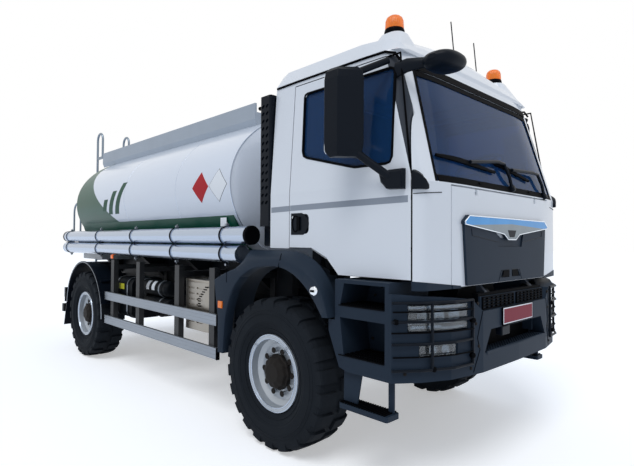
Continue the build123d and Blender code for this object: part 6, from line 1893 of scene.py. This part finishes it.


# Dressing of the frame's own nodes -------------------------------------------------------

# Sums that give one inside the cab's skin and below its sill: there the dark lining colour paints
# the shade in the cab and on the lugs under it, instead of enamel.
LINING_AND_SHADE_STEPS: tuple[Step, ...] = (
    ("wide", "ABSOLUTE", "y"),
    ("rise", "SUBTRACT", "z", 1.985),
    ("up", "MAXIMUM", "rise", 0.0),
    ("in", "MULTIPLY", "up", 0.0667),
    ("reach", "ADD", "wide", "in"),
    ("inside", "LESS_THAN", "reach", 1.1035),
    ("back", "MULTIPLY", "up", 0.2886),
    ("fore", "ADD", "x", "back"),
    ("behind", "LESS_THAN", "fore", 3.212),
    ("ahead", "GREATER_THAN", "x", 1.862),
    ("over", "GREATER_THAN", "z", 1.5545),
    ("under", "LESS_THAN", "z", 2.872),
    ("a", "MULTIPLY", "inside", "behind"),
    ("b", "MULTIPLY", "ahead", "over"),
    ("c", "MULTIPLY", "a", "b"),
    ("d", "MULTIPLY", "c", "under"),
    ("below", "LESS_THAN", "z", 1.3125),
    ("darkened", "MAXIMUM", "d", "below"),
)
DOOR_STEPS: tuple[Step, ...] = LINING_AND_SHADE_STEPS[:5] + (("inside", "LESS_THAN", "reach", 1.1055),)
# Rails are the outermost sheet of each side guard; the posts behind are painted black.
GUARD_STEPS: tuple[Step, ...] = (("wide", "ABSOLUTE", "y"), ("post", "LESS_THAN", "wide", 1.1735))
# Cradles and cross members under the skirt are chassis black; the skirt stays green.
CRADLE_STEPS: tuple[Step, ...] = (("low", "LESS_THAN", "z", 1.50),)
# The green rear of the barrel: its edge sweeps forward as it falls.
GREEN_STEPS: tuple[Step, ...] = (
    ("drop", "SUBTRACT", 2.9, "z"),
    ("down", "MAXIMUM", "drop", 0.0),
    ("curve", "POWER", "down", 1.5),
    ("sweep", "MULTIPLY", "curve", 1.25),
    ("edge", "ADD", "sweep", -2.78),
    ("behind", "LESS_THAN", "x", "edge"),
)


@dataclass
class FrameDress:
    """Finishes of the frame's own nodes."""

    # Each finish with its nodes; a name before _* stands for its right and left one.
    finishes: tuple[tuple[Finish | Zoned, str], ...] = (
        (CAB_ENAMEL, "cab_roof front_flap"),
        (ARCH_PLASTIC, "bumper step_* front_fender_* grille_panel"),
        (
            HOUSING_PLASTIC,
            "mirror_* kerb_mirror intake_snorkel roof_antennas steering_wheel rear_mudguard_*"
            " lamp_guard_*",
        ),
        (TYRE_RUBBER, "tyre_front_* tyre_rear_*"),
        (WHEEL_SILVER, "wheel_front_* wheel_rear_*"),
        (
            CHASSIS_PAINT,
            "chassis_frame front_axle rear_axle knuckle_* tie_rod engine_block driveline"
            " air_tanks strap_tank rear_bar",
        ),
        (TUBE_ALUMINIUM, "hose_tubes_*"),
        (LADDER_ALUMINIUM, "rear_ladder"),
        (GUARD_ALUMINIUM, "fuel_tank"),
        (SHEET_ALUMINIUM, "walkway manlid_front manlid_rear"),
        (STAINLESS, "silencer"),
        (GREY_ENAMEL, "rear_cabinet"),
        (CAB_GLASS_PAINTED_SKY, "windscreen door_glass_*"),
        (LENS, "headlamp_*"),
        (AMBER, "roof_beacons"),
        (SEAT_CLOTH, "seats"),
        (Zoned("cab_enamel_with_painted_shade", CAB_ENAMEL, CAB_LINING_AND_SHADE, LINING_AND_SHADE_STEPS), "cab_shell"),
        (Zoned("door_enamel_with_painted_shade", CAB_ENAMEL, CAB_LINING_AND_SHADE, DOOR_STEPS), "door_*"),
        (
            Zoned("guard_rails_and_posts", GUARD_ALUMINIUM, CHASSIS_PAINT, GUARD_STEPS),
            "side_guard_*",
        ),
        (Zoned("tank_enamel_two_colours", TANK_ENAMEL, GREEN_ENAMEL, GREEN_STEPS), "tank_barrel"),
        (
            Zoned("green_skirt_black_cradles", GREEN_ENAMEL, CHASSIS_PAINT, CRADLE_STEPS),
            "tank_subframe",
        ),
    )

    def build(self, nodes: dict[str, bpy.types.Object]) -> None:
        """Give every node its finish and round the mirror housings.

        Args:
            nodes: The frame's objects by name.
        """
        for finish, listed in self.finishes:
            material = finish.material()
            for name in listed.split():
                hands = [hand for hand, _ in SIDES] if name.endswith("*") else [""]
                for hand in hands:
                    mesh = nodes[name.rstrip("*") + hand].data
                    mesh.materials.clear()
                    mesh.materials.append(material)
                    LOG.info("%s%s wears %s", name, hand, material.name)
        for hand, _ in SIDES:
            housing = nodes[f"mirror_{hand}"]
            housing.modifiers.new("weld", "WELD").merge_threshold = 0.0001
            rounded(housing, 9, 4, 9)


# Studio ----------------------------------------------------------------------------------


@dataclass
class Studio:
    """The floor, light and camera round the vehicle."""

    eye: Point = (4.8995, -3.5847, 1.6099)
    look: Point = (-0.72225, 0.69130, 0.02154)
    roll: float = 0.0064
    lens_mm: float = 27.21
    sensor_mm: float = 36.0
    shift: Flat = (0.01028, -0.00358)
    # Name, way, strength and spread in radians of the far lamps.
    lamps: tuple[tuple[str, Point, float, float], ...] = (
        ("key", (0.35, -0.75, 1.15), 1.25, 0.5), ("fill", (0.9, 0.6, 1.0), 0.25, 0.8),
    )
    sky: str = "#CFDDF2"
    sky_strength: float = 0.52
    floor_reach: float = 90.0
    floor_paint: str = "#F2F4F6"
    floor_lift: float = 0.42

    def _place(self, name: str, data: bpy.types.ID) -> bpy.types.Object:
        """Put an object into the scene.

        Args:
            name: The object's name.
            data: Its mesh, lamp or camera.

        Returns:
            The object.
        """
        made = bpy.data.objects.new(name, data)
        bpy.context.scene.collection.objects.link(made)
        return made

    def camera(self) -> None:
        """Place the camera that the views start from."""
        ahead = Vector(self.look).normalized()
        right = ahead.cross(Vector((0, 0, 1))).normalized()
        up = right.cross(ahead)
        across = right * math.cos(self.roll) + up * math.sin(self.roll)
        upward = up * math.cos(self.roll) - right * math.sin(self.roll)
        data = bpy.data.cameras.new("camera")
        data.lens, data.sensor_width, data.sensor_fit = self.lens_mm, self.sensor_mm, "HORIZONTAL"
        data.shift_x, data.shift_y = self.shift
        data.clip_end = 200.0
        made = self._place("camera", data)
        turned = Matrix((across, upward, -ahead)).transposed().to_4x4()
        made.matrix_world = Matrix.Translation(self.eye) @ turned
        bpy.context.scene.camera = made

    def light(self) -> None:
        """Hang the soft far lamps."""
        for name, way, strength, spread in self.lamps:
            data = bpy.data.lights.new(name, "SUN")
            data.energy, data.angle = strength, spread
            made = self._place(name, data)
            made.rotation_euler = Vector(way).to_track_quat("Z", "Y").to_euler()

    def _seen(self, tree: Tree) -> Socket:
        """Tell where the eye, a reflection or a look through glass meets the surface.

        Args:
            tree: The node tree that gets the nodes.

        Returns:
            One there, and nought elsewhere.
        """
        path = put(tree, "LightPath").outputs
        either = summed(tree, "MAXIMUM", path["Is Camera Ray"], path["Is Glossy Ray"])
        return summed(tree, "MAXIMUM", either, path["Is Transmission Ray"])

    def _mixed(self, tree: Tree, kind: str, unseen: tuple, seen: tuple) -> Socket:
        """Mix two plain shaders, each a colour and a strength, by whether they are seen.

        Args:
            tree: The node tree that gets the shaders.
            kind: The shaders' node type.
            unseen: Colour and strength that light the vehicle.
            seen: Colour and strength that the eye meets.

        Returns:
            The mixed shader.
        """
        dim, bright = (
            put(tree, kind, {"Color": colour, "Strength": strength}).outputs[0]
            for colour, strength in (unseen, seen)
        )
        return put(tree, "MixShader", None, {0: self._seen(tree), 1: dim, 2: bright}).outputs[0]

    def surroundings(self) -> None:
        """Make the white surroundings."""
        world = bpy.data.worlds.new("surroundings")
        bpy.context.scene.world = world
        tree = cleared(world)
        soft, white = (linear(self.sky), self.sky_strength), ((1, 1, 1, 1), 1.0)
        mix = self._mixed(tree, "Background", soft, white)
        put(tree, "OutputWorld", links={"Surface": mix})

    def floor(self) -> None:
        """Lay the floor: white where lit, and darker in the vehicle's shadow."""
        mesh, r = bpy.data.meshes.new("floor"), self.floor_reach
        mesh.from_pydata([(-r, -r, 0), (r, -r, 0), (r, r, 0), (-r, r, 0)], [], [(0, 1, 2, 3)])
        floor = self._place("floor", mesh)
        paper = bpy.data.materials.new("floor_paper")
        tree = cleared(paper)
        matt = put(tree, "BsdfDiffuse", {"Color": linear(self.floor_paint)}).outputs[0]
        white = (1, 1, 1, 1)
        extra = self._mixed(tree, "Emission", (white, 0.0), (white, self.floor_lift))
        total = put(tree, "AddShader", None, {0: matt, 1: extra}).outputs[0]
        put(tree, "OutputMaterial", links={"Surface": total})
        mesh.materials.append(paper)
        floor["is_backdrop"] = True

    def build(self) -> None:
        """Set the view transform and make everything round the vehicle."""
        bpy.context.scene.view_settings.view_transform = "Standard"
        self.surroundings()
        self.floor()
        self.light()
        self.camera()


def main() -> None:
    """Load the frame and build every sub-assembly in order."""
    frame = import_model()
    cad_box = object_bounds()
    Studio().build()
    FrameDress().build(frame["nodes"])
    for hand, side in SIDES:
        for end, axle_x in AXLES:
            WheelDress(f"{end}_{hand}", side, axle_x).build()
        Headlamp(hand, side).build()
        Steps(hand, side).build()
        Arches(hand, side).build()
    for part in (
        *(CabSide(hand, side) for hand, side in SIDES),
        CabFront(), Wipers(), Grille(), RoofGear(), Mirrors(), BumperDress(), TankDress(),
        TubeDress(), SideGear(), RearDress(), CabInside(),
    ):
        part.build()
    sizes = [[[float(v) for v in corner] for corner in box] for box in (cad_box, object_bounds())]
    for name, (low, high) in zip(("cad", "visual"), sizes):
        LOG.info("%s box from %s to %s", name, low, high)


if __name__ == "__main__":
    logging.basicConfig(level=logging.INFO, format="%(name)s %(message)s")
    main()
